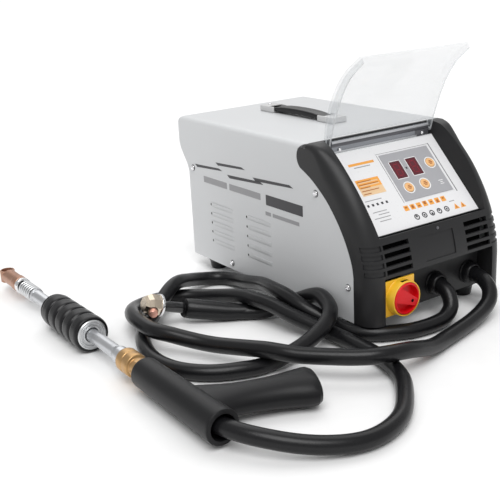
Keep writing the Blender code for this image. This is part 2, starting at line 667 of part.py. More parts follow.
def build_inlet(mats):
    profile = ((8.0, -6), (8.0, 0.3), (12.0, 0.3), (12.0, 5), (10.0, 6), (8.2, 16), (4.5, 16), (4.5, -6))
    turned("mains_gland", profile, (-75, REAR_FOOT_Y, 45), (0, 1, 0), mats["black_rubber"], count=20,
           ring_shaped=True)


# ---------------------------------------------------------------- cables

def build_gland(name, x, mats):
    """A domed rubber gland: a flange on the panel, a short dome round the cable and a spigot behind."""
    mouth = GLAND_BACK_Y - GLAND_TIP_Y
    profile = ((12.0, -5), (12.0, 0), (16.5, 0), (17.0, 4), (16.4, 7.5), (15.0, mouth - 1.8), (13.4, mouth),
               (12.4, mouth), (11.0, mouth - 10), (4.0, mouth - 10), (4.0, -5))
    turned(name, profile, (x, GLAND_BACK_Y, GLAND_Z), (0, -1, 0), mats["black_rubber"], count=24,
           ring_shaped=True)


def build_cable(name, route, mats):
    """A plain tube along a smooth curve through the route's points."""
    path = smooth_curve([Vector(point) for point in route], 4)
    reach = [0.0]
    for one, two in zip(path, path[1:]):
        reach.append(reach[-1] + (two - one).length)
    count = round(reach[-1] / CABLE_STEP)
    points = []
    for i in range(count + 1):
        goal = reach[-1] * i / count
        k = next((j for j in range(1, len(reach)) if reach[j] >= goal - 1e-6), len(reach) - 1)
        share = (goal - reach[k - 1]) / (reach[k] - reach[k - 1])
        points.append(path[k - 1].lerp(path[k], share) * MM)
    curve = bpy.data.curves.new(name, 'CURVE')
    curve.dimensions = '3D'
    curve.bevel_depth = CABLE_RADIUS * MM
    curve.bevel_resolution = 3
    curve.use_fill_caps = True
    spline = curve.splines.new('POLY')
    spline.points.add(len(points) - 1)
    for slot, point in zip(spline.points, points):
        slot.co = (*point, 1.0)
    curve.materials.append(mats["black_rubber"])
    obj = bpy.data.objects.new(name, curve)
    bpy.context.collection.objects.link(obj)
    return obj


def build_earth_end(mats):
    """Boot, lug neck and clamp block, in line with the end of the earth cable."""
    start, end = Vector(BOOT_START), Vector(BOOT_END)
    step = (end - start).normalized()
    length = (end - start).length
    along = (Vector(CLAMP_MIDDLE) - end).normalized()
    gap = (Vector(CLAMP_MIDDLE) - end).length - CLAMP_LENGTH / 2
    stations = ((0, 12.0, step), (3, 12.6, step), (length - 16, 12.8, step),
                (length - 4, 12.2, step + along), (length, 11.2, along))
    rings = [circle_ring(start + step * reach, axis, radius, 20) for reach, radius, axis in stations]
    boot = loft("earth_boot", rings, mats["black_rubber"], start)
    boolean(boot, cylinder("boot_bore", start - step * 5, step, 10.7, 17.5, count=20))
    neck_at = end + along * GAP
    turned("earth_neck", ((6.2, 0), (6.2, gap - 3), (5.2, gap - 1.6)), neck_at, along,
           mats["black_rubber"], count=16)
    block_at = end + along * gap
    shape = ((9.5, 0), (13.2, 2.5), (14.0, 8), (14.0, 18), (11.5, 24), (8.5, CLAMP_LENGTH))
    clamp = turned("earth_clamp", shape, block_at, along, mats["brass"], count=8, sharp=20)
    front = Vector((0.25, -0.72, -0.45)).normalized()
    seat = Vector(CLAMP_MIDDLE) + front * 8.0
    boolean(clamp, cylinder("seat", seat, front, 5.3, 30, count=16))
    turned("earth_contact", ((4.9, 0.4), (4.9, 9), (4.0, 11)), seat, front, mats["copper"], count=16)


# ---------------------------------------------------------------- gun

GUN_FRONT_Y = -133.0
GUN_BACK_Y = -288.5
WEIGHT_FRONT_Y = 113.0
WEIGHT_BACK_Y = -4.0


def gun_point(y, z=0.0):
    return (GUN_X, y, GUN_Z + z)


def build_gun_body(mats):
    """Round barrel with an open back, and a flared oval grip on its side."""
    length = GUN_FRONT_Y - GUN_BACK_Y
    profile = ((16.0, 0), (17.5, 1.5), (17.8, 40), (19.0, length - 3), (18.4, length))
    body = turned("gun_body", profile, gun_point(GUN_FRONT_Y), (0, -1, 0), mats["black_plastic"], count=28)
    stations = ((4, 34, 13.8, 22.2), (22, 30, 14.8, 21.4), (36, 24, 14.8, 20.8), (62, 21, 15.2, 19.8),
                (92, 22.5, 16.4, 19.0), (114, 27, 17.8, 18.6), (126, 29, 18.2, 18.6), (133, 24, 14.0, 18.6))
    lean = Vector((1, -0.315, 0)).normalized()
    rings = []
    for reach, half_long, half_high, z in stations:
        centre = Vector((GUN_X, -230, z)) + Vector((lean.x * reach, lean.y * reach, 0))
        ring = circle_ring(centre, lean, half_high, 20, half_long / half_high)
        rings.append(ring)
    boolean(body, loft("grip", rings), 'UNION')
    boolean(body, cylinder("cable_bore", gun_point(-254), (0, -1, 0), 13.0, 50, count=28))
    return boolean(body, cylinder("nut_seat", gun_point(-150), (0, 1, 0), 9.4, 40, count=20))


def build_hammer(mats):
    profile = ((9.0, -14), (9.0, 0.6), (11.8, 0.6), (11.8, 13), (10.4, 14), (10.4, 16), (13.6, 17),
               (14.2, 20), (14.2, 40), (12.5, 44))
    nut = turned("gun_nut", profile, gun_point(-132.2), (0, 1, 0), mats["brass"], count=24)
    boolean(nut, cylinder("rod_seat", gun_point(-100), (0, 1, 0), 8.8, 30, count=20))
    profile = ((8.4, -99.7), (8.4, -87.5), (10.2, -84.7), (10.6, -76), (8.2, -68), (8.2, 168),
               (9.6, 168.3), (9.6, 173), (9.1, 174), (9.6, 175), (9.6, 190), (6.0, 190.5), (6.0, 215),
               (4.0, 215.3), (4.0, 233))
    turned("hammer_rod", profile, gun_point(0), (0, 1, 0), mats["zinc_steel"], count=20)
    length = WEIGHT_FRONT_Y - WEIGHT_BACK_Y
    core = ((8.9, 0), (16.5, 0), (18.6, 1.5), (18.6, length - 1.5), (16.5, length), (8.9, length))
    turned("weight_core", core, gun_point(WEIGHT_BACK_Y), (0, 1, 0), mats["zinc_steel"], count=24,
           ring_shaped=True)
    sleeve = [(18.9, 2.0)]
    ribs = 5
    pitch = (length - 6) / ribs
    for i in range(ribs):
        base = 2.0 + pitch * i
        crest = 22.4 - 0.2 * i
        sleeve += [(crest - 1.0, base + 1.5), (crest, base + 4), (crest, base + pitch - 6),
                   (crest - 1.0, base + pitch - 3)]
        if i < ribs - 1:
            sleeve.append((19.6, base + pitch - 0.8))
    sleeve.append((20.6, length - 2.6))
    sleeve.append((18.9, length - 2.0))
    turned("weight_sleeve", sleeve, gun_point(WEIGHT_BACK_Y), (0, 1, 0), mats["black_rubber"], count=28,
           ring_shaped=True)


def build_spring(mats):
    """A short helical bumper spring round the thin end of the rod."""
    turns = 3.25
    coil_radius = 8.1
    wire = 1.45
    start_y = 192.6
    pitch = 6.2
    steps = int(turns * 16)
    rings = []
    for i in range(steps + 1):
        angle = 2 * math.pi * turns * i / steps
        centre = Vector((GUN_X + coil_radius * math.cos(angle), start_y + pitch * angle / (2 * math.pi),
                         GUN_Z + coil_radius * math.sin(angle)))
        along = Vector((-math.sin(angle) * coil_radius, pitch / (2 * math.pi), math.cos(angle) * coil_radius))
        outward = Vector((math.cos(angle), 0, math.sin(angle)))
        across = along.normalized().cross(outward)
        ring = []
        for k in range(8):
            turn = k * math.pi / 4
            ring.append(centre + outward * wire * math.cos(turn) + across * wire * math.sin(turn))
        rings.append(ring)
    loft("bumper_spring", rings, mats["zinc_steel"], gun_point(start_y))


def build_electrode(mats):
    """A bored holder on the end of the rod and a copper tip with a round end and a blind cross hole."""
    holder_y = 216.0
    shape = ((9.5, 0), (11.4, 1.2), (11.4, 20), (10.6, 22.7))
    holder = turned("electrode_holder", shape, gun_point(holder_y), (0, 1, 0), mats["chrome"], count=20)
    boolean(holder, cylinder("rod_bore", gun_point(holder_y - 5), (0, 1, 0), 4.4, 23.5, count=16))
    tip = turned("electrode_tip", ((9.6, 0), (10.4, 1.5), (10.4, 39.0)), gun_point(239.0), (0, 1, 0),
                 mats["copper"], count=24)
    boolean(tip, cylinder("tip_end", gun_point(277.9, -8.4), (0, 0, 1), 10.35, 16.8, count=28), 'UNION')
    boolean(tip, cylinder("tip_hole", gun_point(277.9, -1.0), (0, 0, 1), 7.4, 20, count=20))


# ---------------------------------------------------------------- assembly

def place_on_origin():
    """Hang every loose object on one empty, under the middle of the whole outline."""
    anchor = bpy.data.objects.new("cabinet_middle", None)
    bpy.context.collection.objects.link(anchor)
    for obj in list(bpy.data.objects):
        if obj is not anchor:
            obj.parent = anchor
    anchor.location = (CABINET_AT[0] * MM, CABINET_AT[1] * MM, 0.0)


def build():
    clear_scene()
    mats = palette()
    build_casing(mats)
    build_handle(mats)
    build_panel(mats)
    build_cover(mats)
    build_hinge(mats)
    build_switch(mats)
    build_transformer(mats)
    build_busbars(mats)
    build_electronics(mats)
    build_fan(mats)
    build_inlet(mats)
    build_gland("gland_gun", GUN_GLAND_X, mats)
    build_gland("gland_earth", EARTH_GLAND_X, mats)
    build_cable("gun_cable", GUN_ROUTE, mats)
    build_cable("earth_cable", EARTH_ROUTE, mats)
    build_earth_end(mats)
    build_gun_body(mats)
    build_hammer(mats)
    build_spring(mats)
    build_electrode(mats)
    place_on_origin()


build()
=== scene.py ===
"""Spot welder with its cables, earth clamp and hammer gun, finished over the fixed frame.

Lengths are in millimetres and places are measured from the floor under the cabinet's middle, with the
front facing -Y. at() turns them into the frame's metres.
"""
from math import copysign, cos, pi, radians, sin, sqrt

import bmesh
import bpy
from mathutils import Matrix, Vector


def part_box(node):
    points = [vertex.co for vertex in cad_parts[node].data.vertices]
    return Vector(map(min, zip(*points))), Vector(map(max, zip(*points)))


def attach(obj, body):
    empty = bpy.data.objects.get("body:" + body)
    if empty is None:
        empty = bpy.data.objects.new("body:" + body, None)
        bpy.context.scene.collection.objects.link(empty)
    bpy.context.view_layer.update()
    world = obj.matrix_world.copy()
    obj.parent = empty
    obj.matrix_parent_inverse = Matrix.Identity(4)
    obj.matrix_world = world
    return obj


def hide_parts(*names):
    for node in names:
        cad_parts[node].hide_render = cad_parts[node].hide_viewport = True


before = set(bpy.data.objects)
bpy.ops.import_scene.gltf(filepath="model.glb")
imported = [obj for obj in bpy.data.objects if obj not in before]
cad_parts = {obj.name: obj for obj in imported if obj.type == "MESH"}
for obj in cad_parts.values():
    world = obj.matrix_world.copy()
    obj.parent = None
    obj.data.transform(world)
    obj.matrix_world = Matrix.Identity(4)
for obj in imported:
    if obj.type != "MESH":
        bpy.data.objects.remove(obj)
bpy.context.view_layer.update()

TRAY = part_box("base_tray")
MM = 0.001

CAMERA_PLACE = (-767.9, -932.7, 448.9)
CAMERA_ANGLES = (-33.95, 18.39, -2.94)
CAMERA_LENS = 64.74
FLOOR_HALF = 30
SKY_LIGHT = 0.5

HALF_WIDTH = 115
BASE_Z = 20
TOP_Z = 226
SHELL_FRONT_Y = -177
REAR_Y = 208.5
REAR_FOOT_Y = 186
FOLD_RADIUS = 6.5
EAR_RADIUS = 17.5
COLUMN_RADIUS = 22
REAR_RADIUS = 12
LOUVRE_STARTS = (74.5, -15)
LOUVRE_HEIGHTS = [52.5 + 13.6 * row for row in range(5)]
LOUVRE_LENGTH = 54
CASING_SCREWS = ((174, 153.4), (-110.4, 168), (83, 29.5), (-167.5, 63))
VENT_HEIGHTS = [84.8 + 9.65 * row for row in range(4)]
FAN_Z = 95

HINGE_Y = -99.3
HINGE_Z = 217
COVER_HALF = 87
COVER_SHEET = 2.4
PLATE_TOP = Vector((0, -104, 209))
PLATE_BOTTOM = Vector((0, -188, 124))
TUB_HALF = 87.6
WALL_LEAN = 0.363
DISPLAYS_X = (-0.2, 27.2)
DISPLAYS_DOWN = 40
FIELD_TOP = 0.8
PRINT_THICK = 0.12
BUTTONS = ((54.7, 40), (0, 67), (27.2, 67))
BUTTON_BODIES = ("button_right", "button_left", "button_mid")
SWITCH_X = -68.5
SWITCH_Z = 52
GRIP_BAR_TILT = 28

CABLE_RADIUS = 9.5
CABLE_STEP = 18.8
ROUND_STEPS = 3
GLAND_BACK_Y = -183.8
GLAND_Z = 42.5
GUN_X = -375
GUN_Z = 22.8
GRIP_LEAN = -0.315
NUT_BACK_Y = -132.2
TIP_EYE_Y = 277.9
WEIGHT_BACK_Y = -4
WEIGHT_LENGTH = 113.5
WEIGHT_RIBS = 5
TRAY_MIDDLE_Y = (SHELL_FRONT_Y + 1 + REAR_FOOT_Y - 1.8) / 2
ORIGIN = Vector(((TRAY[0][0] + TRAY[1][0]) / 2, (TRAY[0][1] + TRAY[1][1]) / 2 - TRAY_MIDDLE_Y * MM, 0))

GUN_ROUTE = (
    (73, -190, 42.5), (73, -197, 42.5), (71.5, -210, 40), (66.5, -226, 33), (60, -234, 26),
    (48, -239, 19.4), (31, -244, 14.5), (4, -251, 11.6), (-26, -258, 10.5), (-56, -265, 10.4),
    (-86, -274, 14), (-128, -283, 26.5), (-164, -281, 31), (-191, -263, 30.2), (-233, -219, 30),
    (-249, -192, 31), (-274, -126, 21.5), (-291, -98, 23), (-309, -76, 28.5), (-321, -48, 30.2),
    (-312, 14, 26.7), (-275, 64, 13.5), (-225, 71.5, 10), (-188, 36, 12), (-175, -26, 27),
    (-173, -60, 31), (-167, -86, 29.6), (-163, -118, 25), (-143, -172, 13), (-139, -215, 11),
    (-140, -250, 10), (-149, -284, 10), (-167, -316, 10), (-217, -363, 10), (-270, -376, 10.3),
    (-318, -357, 14), (-356, -322, 20.5), (-374, -286, 22.8), (-375, -268, 22.8), (-375, -258, 22.8),
)
EARTH_ROUTE = (
    (12, -190, 42.5), (12, -197, 42), (11.3, -207, 37), (9.2, -215, 29.4), (4.5, -220, 21),
    (-5, -223, 14.4), (-22, -224.5, 11.2), (-42, -223.5, 10.2), (-64, -219.5, 10), (-84, -210, 10.2),
    (-104, -197, 10.2), (-119, -171, 10.2), (-127, -146, 16), (-142, -118, 28.5), (-147, -87, 38),
    (-142, -50, 36), (-132, -12, 29), (-128, 26, 20), (-123, 62, 12), (-130, 86, 10),
    (-151, 97, 11.2), (-178, 91, 18), (-226, 58, 32.2), (-270, 30, 16), (-311, -12, 10.2),
    (-327, -41, 10.1), (-337, -74, 10), (-338, -105, 10), (-329, -134, 10), (-307, -160, 10),
    (-276, -177, 10.5), (-244, -183, 10.4), (-189, -180, 18), (-148, -171, 34.5), (-132, -150, 41),
    (-124.5, -120, 43), (-130, -74, 21.5), (-163, -53, 10.3), (-200, -27, 12.5), (-206.5, -22.6, 13.5),
)
BOOT_START = Vector((-198.5, -28, 12.3))
BOOT_END = Vector((-244.5, 2, 20.5))
CLAMP_MIDDLE = Vector((-286.5, 5.5, 35))


def at(point):
    return ORIGIN + Vector(point) * MM


# ---- camera, light and floor

def make_camera():
    yaw, pitch, roll = (radians(angle) for angle in CAMERA_ANGLES)
    back = Vector((sin(yaw) * cos(pitch), -cos(yaw) * cos(pitch), sin(pitch)))
    right = Vector((cos(yaw), sin(yaw), 0))
    up = back.cross(right)
    side = right * cos(roll) + up * sin(roll)
    top = up * cos(roll) - right * sin(roll)
    camera = bpy.data.objects.new("camera", bpy.data.cameras.new("camera"))
    bpy.context.scene.collection.objects.link(camera)
    turn = Matrix((side, top, back)).transposed().to_4x4()
    camera.matrix_world = Matrix.Translation(at(CAMERA_PLACE)) @ turn
    camera.data.sensor_width = 36
    camera.data.lens = CAMERA_LENS
    camera.data.clip_start = 0.05
    bpy.context.scene.camera = camera


def make_sun(name, place, target, strength, softness):
    lamp = bpy.data.objects.new(name, bpy.data.lights.new(name, 'SUN'))
    bpy.context.scene.collection.objects.link(lamp)
    lamp.data.energy = strength
    lamp.data.angle = radians(softness)
    lamp.location = at(place)
    lamp.rotation_mode = 'QUATERNION'
    lamp.rotation_quaternion = (at(target) - at(place)).to_track_quat('-Z', 'Y')


def make_stage():
    mesh_data = bmesh.new()
    bmesh.ops.create_grid(mesh_data, x_segments=1, y_segments=1, size=FLOOR_HALF)
    floor = new_object("floor", mesh_data)
    floor.data.materials.append(surface("floor_paper", (0.93, 0.93, 0.93), 0.9, bump=0))
    world = bpy.data.worlds.new("studio")
    world.use_nodes = True
    background = world.node_tree.nodes["Background"]
    background.inputs["Color"].default_value = (1, 1, 1, 1)
    seen = add_node(world.node_tree, "LightPath")
    strength = add_node(world.node_tree, "MapRange", To_Min=SKY_LIGHT, To_Max=1)
    world.node_tree.links.new(seen.outputs["Is Camera Ray"], strength.inputs["Value"])
    world.node_tree.links.new(strength.outputs["Result"], background.inputs["Strength"])
    bpy.context.scene.world = world
    bpy.context.scene.view_settings.view_transform = 'Standard'
    make_sun("key", (-700, -900, 1900), (0, 0, 0), 1.75, 40)
    make_sun("rim", (700, 1000, 1500), (0, 0, 0), 0.9, 60)


# ---- materials

def add_node(tree, kind, **values):
    node = tree.nodes.new("ShaderNode" + kind)
    set_inputs(node, **values)
    return node


def set_inputs(node, **values):
    """Set sockets by name, with an underscore for each space."""
    for socket, value in values.items():
        node.inputs[socket.replace("_", " ")].default_value = value


def surface(name, colour, roughness, scale=400, bump=0.1, vary=0.06, metallic=0, rough_vary=0.08, coat=0,
        stretch=(1, 1, 1), specular=0.5, alpha=1):
    """A principled material with fine grain in its colour, roughness and relief."""
    made = bpy.data.materials.new(name)
    made.use_nodes = True
    tree = made.node_tree
    links = tree.links
    shader = tree.nodes["Principled BSDF"]
    set_inputs(shader, Metallic=metallic, Coat_Weight=coat, Coat_Roughness=0.12, Specular_IOR_Level=specular,
        Alpha=alpha)
    place = add_node(tree, "TexCoord").outputs["Object"]
    mapping = add_node(tree, "Mapping", Scale=stretch)
    links.new(place, mapping.inputs["Vector"])
    fine = add_node(tree, "TexNoise", Scale=scale, Detail=3)
    links.new(mapping.outputs["Vector"], fine.inputs["Vector"])
    broad = add_node(tree, "TexNoise", Scale=14, Detail=4)
    links.new(place, broad.inputs["Vector"])
    tone = add_node(tree, "MapRange", To_Min=1 - vary, To_Max=1 + vary)
    links.new(broad.outputs["Fac"], tone.inputs["Value"])
    tint = add_node(tree, "VectorMath")
    tint.operation = 'SCALE'
    tint.inputs[0].default_value = colour
    links.new(tone.outputs["Result"], tint.inputs["Scale"])
    links.new(tint.outputs["Vector"], shader.inputs["Base Color"])
    gloss = add_node(tree, "MapRange", To_Min=max(0.02, roughness - rough_vary),
        To_Max=min(1, roughness + rough_vary))
    links.new(fine.outputs["Fac"], gloss.inputs["Value"])
    links.new(gloss.outputs["Result"], shader.inputs["Roughness"])
    if bump:
        relief = add_node(tree, "Bump", Strength=bump, Distance=0.0004)
        links.new(fine.outputs["Fac"], relief.inputs["Height"])
        links.new(relief.outputs["Normal"], shader.inputs["Normal"])
    return made


# each look: the record's slot, the material's name, colour, roughness, grain scale, relief and colour
# variation, then any other settings of surface()
LOOKS = {
    "paint": ("grey_paint", "grey_powder_coat", (0.63, 0.64, 0.65), 0.42, 900, 0.06, 0.02),
    "plastic": ("black_plastic", "black_moulding", (0.017, 0.017, 0.018), 0.4, 1500, 0.2, 0.15,
        dict(specular=0.33)),
    "smooth_black": ("black_plastic", "black_smooth", (0.009, 0.009, 0.01), 0.3, 500, 0.05, 0.1),
    "rubber": ("black_rubber", "cable_rubber", (0.007, 0.007, 0.008), 0.3, 700, 0.2, 0.2,
        dict(specular=0.32)),
    "grip": ("black_plastic", "grip_rubber", (0.007, 0.007, 0.008), 0.4, 900, 0.25, 0.2, dict(specular=0.28)),
    # dark: near-black with almost no sheen, the painted shade put into slots, hole ends and openings
    "dark": ("black_plastic", "dark_inside", (0.003, 0.003, 0.003), 0.9, 400, 0, 0.06, dict(specular=0.05)),
    "white": ("white_plate", "white_sheet", (0.8, 0.8, 0.81), 0.3, 300, 0.03, 0.02),
    "field": ("grey_field", "grey_membrane", (0.385, 0.385, 0.405), 0.35, 900, 0.12, 0.03),
    "white_ink": ("white_plate", "white_ink", (0.85, 0.85, 0.85), 0.35, 400, 0.02, 0.02),
    "orange": ("orange_button", "orange_ink", (0.86, 0.38, 0.07), 0.4, 400, 0.02, 0.08),
    "pale_orange": ("orange_button", "pale_orange_ink", (0.8, 0.57, 0.34), 0.4, 400, 0.02, 0.08),
    "ink": ("black_plastic", "dark_ink", (0.03, 0.03, 0.035), 0.4, 400, 0.02, 0.1),
    "grey_ink": ("bar_grey", "grey_ink", (0.3, 0.3, 0.31), 0.4, 400, 0.02, 0.1),
    "window": ("red_window", "led_window", (0.1, 0.005, 0.015), 0.15, 400, 0, 0.2, dict(coat=0.4)),
    "segment": ("red_window", "led_segment", (0.22, 0.01, 0.02), 0.2, 400, 0, 0.1),
    "button": ("orange_button", "button_cap", (0.86, 0.5, 0.22), 0.35, 900, 0.1, 0.06),
    "bar": ("bar_grey", "grey_bar", (0.22, 0.23, 0.25), 0.24, 300, 0.05, 0.06,
        dict(metallic=0.55, stretch=(0.02, 1, 1))),
    "clear": ("clear_plastic", "clear_acrylic", (0.58, 0.61, 0.64), 0.05, 60, 0.01, 0.01,
        dict(rough_vary=0.02, alpha=0.17)),
    # acrylic edge: whiter and more opaque than the sheet, a painted highlight on the clear cover's thin edges
    "clear_edge_highlight": ("clear_plastic", "acrylic_edge", (0.66, 0.68, 0.7), 0.12, 60, 0.01, 0.01,
        dict(rough_vary=0.02, alpha=0.62)),
    # bump: grey in place of the black moulding, a painted highlight on the latch bump
    "bump": ("bar_grey", "grey_bump", (0.1, 0.1, 0.11), 0.3, 500, 0.05, 0.06),
    "yellow": ("yellow_plastic", "yellow_moulding", (0.87, 0.5, 0.025), 0.32, 900, 0.1, 0.04, dict(coat=0.2)),
    "red": ("red_plastic", "red_moulding", (0.7, 0.006, 0.012), 0.3, 900, 0.08, 0.06, dict(specular=0.3)),
    "steel": ("zinc_steel", "turned_steel", (0.62, 0.63, 0.65), 0.34, 200, 0.03, 0.06,
        dict(metallic=1, stretch=(1, 6, 1))),
    "satin": ("zinc_steel", "satin_steel", (0.72, 0.73, 0.74), 0.36, 500, 0.05, 0.06, dict(metallic=0.9)),
    "chrome": ("chrome", "bright_chrome", (0.82, 0.82, 0.83), 0.1, 200, 0.02, 0.06,
        dict(metallic=1, rough_vary=0.05)),
    "brass": ("brass", "worn_brass", (0.56, 0.35, 0.16), 0.36, 160, 0.06, 0.12, dict(metallic=0.95)),
    "copper": ("copper", "worn_copper", (0.46, 0.26, 0.18), 0.38, 160, 0.08, 0.2, dict(metallic=0.9)),
    "clamp": ("brass", "pale_clamp_metal", (0.7, 0.6, 0.48), 0.24, 160, 0.08, 0.12, dict(metallic=1)),
    "rose": ("copper", "clean_copper", (0.86, 0.46, 0.36), 0.3, 160, 0.05, 0.1, dict(metallic=0.9)),
    # band and dark band: light and dark strips laid on the hinge bar, painted highlights and painted shade
    "band": ("bar_grey", "light_band", (0.48, 0.49, 0.51), 0.3, 300, 0.04, 0.06,
        dict(metallic=0.3, stretch=(0.02, 1, 1))),
    "dark_band": ("bar_grey", "dark_band", (0.09, 0.09, 0.1), 0.3, 300, 0.04, 0.06,
        dict(metallic=0.3, stretch=(0.02, 1, 1))),
    "mark": ("orange_button", "button_mark", (0.42, 0.13, 0.03), 0.4, 400, 0.02, 0.1),
    "neck": ("black_rubber", "glossy_neck", (0.01, 0.01, 0.011), 0.16, 300, 0.03, 0.1, dict(coat=0.5)),
    # ledge: opaque near-white, the painted highlight on the clear ledge's edge
    "ledge": ("clear_plastic", "ledge_edge", (0.82, 0.84, 0.85), 0.2, 300, 0.03, 0.03),
    "cast": ("handle_grey", "grey_casting", (0.62, 0.62, 0.62), 0.34, 700, 0.08, 0.03, dict(metallic=0.2)),
    "core": ("core_steel", "core_laminations", (0.16, 0.16, 0.17), 0.5, 900, 0.3, 0.06,
        dict(metallic=0.8, stretch=(1, 0.02, 0.02))),
    "tape": ("insulation", "winding_tape", (0.5, 0.38, 0.18), 0.6, 300, 0.3, 0.06),
    "board": ("board_green", "circuit_board", (0.02, 0.15, 0.06), 0.4, 250, 0.2, 0.06),
}
MATERIALS = {look: surface(*row[1:7], **(row[7] if len(row) > 7 else {})) for look, row in LOOKS.items()}


# ---- geometry helpers

def new_object(name, mesh_data):
    mesh = bpy.data.meshes.new(name)
    mesh_data.to_mesh(mesh)
    mesh_data.free()
    obj = bpy.data.objects.new(name, mesh)
    bpy.context.scene.collection.objects.link(obj)
    return obj


def shade(mesh, sharp):
    mesh.shade_smooth()
    mesh.set_sharp_from_angle(angle=radians(sharp))


def add_piece(name, mesh_data, look, node=None, sharp=35, body="machine"):
    """Make a named object from a bmesh in millimetres, in the frame's place, and let it ride."""
    bmesh.ops.remove_doubles(mesh_data, verts=mesh_data.verts, dist=0.0005)
    bmesh.ops.recalc_face_normals(mesh_data, faces=mesh_data.faces)
    mesh_data.transform(Matrix.Translation(ORIGIN) @ Matrix.Scale(MM, 4))
    obj = new_object(name, mesh_data)
    shade(obj.data, sharp)
    obj.data.materials.append(MATERIALS[look])
    return finish_piece(obj, body, node)


def finish_piece(obj, body, node=None):
    if body:
        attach(obj, body)
    if node:
        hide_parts(node)
    return obj


def add_loft(mesh_data, rings, closed_loop=False):
    layers = [[mesh_data.verts.new(Vector(point)) for point in ring] for ring in rings]
    count = len(rings[0])
    pairs = list(zip(layers, layers[1:]))
    if closed_loop:
        pairs.append((layers[-1], layers[0]))
    for one, two in pairs:
        for i in range(count):
            j = (i + 1) % count
            mesh_data.faces.new((one[i], one[j], two[j], two[i]))
    if not closed_loop:
        mesh_data.faces.new(layers[0])
        mesh_data.faces.new(layers[-1])
    return mesh_data


def circle_ring(centre, axis, radius, count, stretch=1):
    along = Vector(axis).normalized()
    side = along.cross(Vector((0, 0, 1)))
    side = side.normalized() if side.length > 0.01 else Vector((1, 0, 0))
    up = side.cross(along)
    ring = []
    for i in range(count):
        angle = 2 * pi * i / count
        across, rise = radius * stretch * cos(angle), radius * sin(angle)
        ring.append(Vector(centre) + side * across + up * rise)
    return ring


def add_turned(mesh_data, profile, place, axis, count=48, ring_shaped=False):
    """Turn a profile of (radius, height) pairs about an axis through a place."""
    along = Vector(axis).normalized()
    rings = [circle_ring(Vector(place) + along * height, along, radius, count) for radius, height in profile]
    return add_loft(mesh_data, rings, closed_loop=ring_shaped)


def turned(name, profile, place, axis, look, node=None, count=48, ring_shaped=False, sharp=35, body="machine"):
    mesh_data = add_turned(bmesh.new(), profile, place, axis, count, ring_shaped)
    return add_piece(name, mesh_data, look, node, sharp, body)


def add_box(mesh_data, low, high, bevel=0, segments=2):
    low, high = Vector(low), Vector(high)
    part = bmesh.new()
    matrix = Matrix.Translation((low + high) / 2) @ Matrix.Diagonal((*(high - low), 1))
    bmesh.ops.create_cube(part, size=1, matrix=matrix)
    if bevel:
        bmesh.ops.bevel(part, geom=part.edges[:], offset=bevel, segments=segments, profile=0.5,
            affect='EDGES', clamp_overlap=True)
    return merge(mesh_data, part)


def merge(mesh_data, part):
    scratch = bpy.data.meshes.new("scratch")
    part.to_mesh(scratch)
    part.free()
    mesh_data.from_mesh(scratch)
    bpy.data.meshes.remove(scratch)
    return mesh_data


def rounded(profile, radius=0.8):
    """Round the corners of a turned profile."""
    points = [Vector(point) for point in profile]
    result = []
    for i, point in enumerate(points):
        if i in (0, len(points) - 1):
            result.append(tuple(point))
            continue
        before, after = points[i - 1] - point, points[i + 1] - point
        reach = min(radius, before.length * 0.45, after.length * 0.45)
        if reach < 0.02:
            result.append(tuple(point))
            continue
        start, end = point + before.normalized() * reach, point + after.normalized() * reach
        for k in range(ROUND_STEPS + 1):
            t = k / ROUND_STEPS
            result.append(tuple(start * (1 - t) ** 2 + point * 2 * t * (1 - t) + end * t * t))
    return result


def smooth_curve(points, steps):
    """Catmull-Rom curve through given points."""
    path = [Vector(point) for point in points]
    last = len(path) - 1
    curve = []
    for i in range(last):
        before, start = path[max(i - 1, 0)], path[i]
        end, after = path[i + 1], path[min(i + 2, last)]
        for k in range(steps):
            t = k / steps
            curve.append(0.5 * (2 * start + (end - before) * t + (2 * before - 5 * start + 4 * end - after)
                * t * t + (3 * start - before - 3 * end + after) * t ** 3))
    curve.append(path[-1])
    return curve


def lengths_along(points):
    """The length of a line of points up to each of them."""
    reach = [0]
    for one, two in zip(points, points[1:]):
        reach.append(reach[-1] + (Vector(two) - Vector(one)).length)
    return reach


def arc(centre_y, centre_z, radius, start, stop, steps):
    points = []
    for i in range(steps + 1):
        angle = radians(start + (stop - start) * i / steps)
        points.append((centre_y + radius * cos(angle), centre_z + radius * sin(angle)))
    return points


def cutter(rings=None, mesh_data=None):
    """A hidden tool for one Boolean, in millimetres."""
    part = mesh_data or add_loft(bmesh.new(), rings)
    bmesh.ops.recalc_face_normals(part, faces=part.faces)
    part.transform(Matrix.Translation(ORIGIN) @ Matrix.Scale(MM, 4))
    return new_object("cutter", part)


def prism_tool(outline, x_low, x_high):
    return cutter([[(x, y, z) for y, z in outline] for x in (x_low, x_high)])


def box_tool(low, high, bevel=0):
    return cutter(mesh_data=add_box(bmesh.new(), low, high, bevel))


def turned_tool(profile, place, axis, count=40):
    return cutter(mesh_data=add_turned(bmesh.new(), profile, place, axis, count))


def cylinder_tool(place, axis, radius, length, count=40):
    return turned_tool(((radius, 0), (radius, length)), place, axis, count)


def boolean(target, tool, operation='DIFFERENCE', sharp=35):
    modifier = target.modifiers.new("boolean", 'BOOLEAN')
    modifier.object = tool
    modifier.operation = operation
    modifier.solver = 'EXACT'
    bpy.context.view_layer.update()
    evaluated = target.evaluated_get(bpy.context.evaluated_depsgraph_get())
    mesh = bpy.data.meshes.new_from_object(evaluated)
    target.modifiers.clear()
    target.data = mesh
    bpy.data.objects.remove(tool, do_unlink=True)
    shade(mesh, sharp)
    return target


def soften(obj, width, segments=2, angle=35):
    """Round the hard edges with a bevel modifier."""
    bevel = obj.modifiers.new("soft_edges", 'BEVEL')
    bevel.width = width * MM
    bevel.segments = segments
    bevel.limit_method = 'ANGLE'
    bevel.angle_limit = radians(angle)
    bevel.harden_normals = True
    return obj


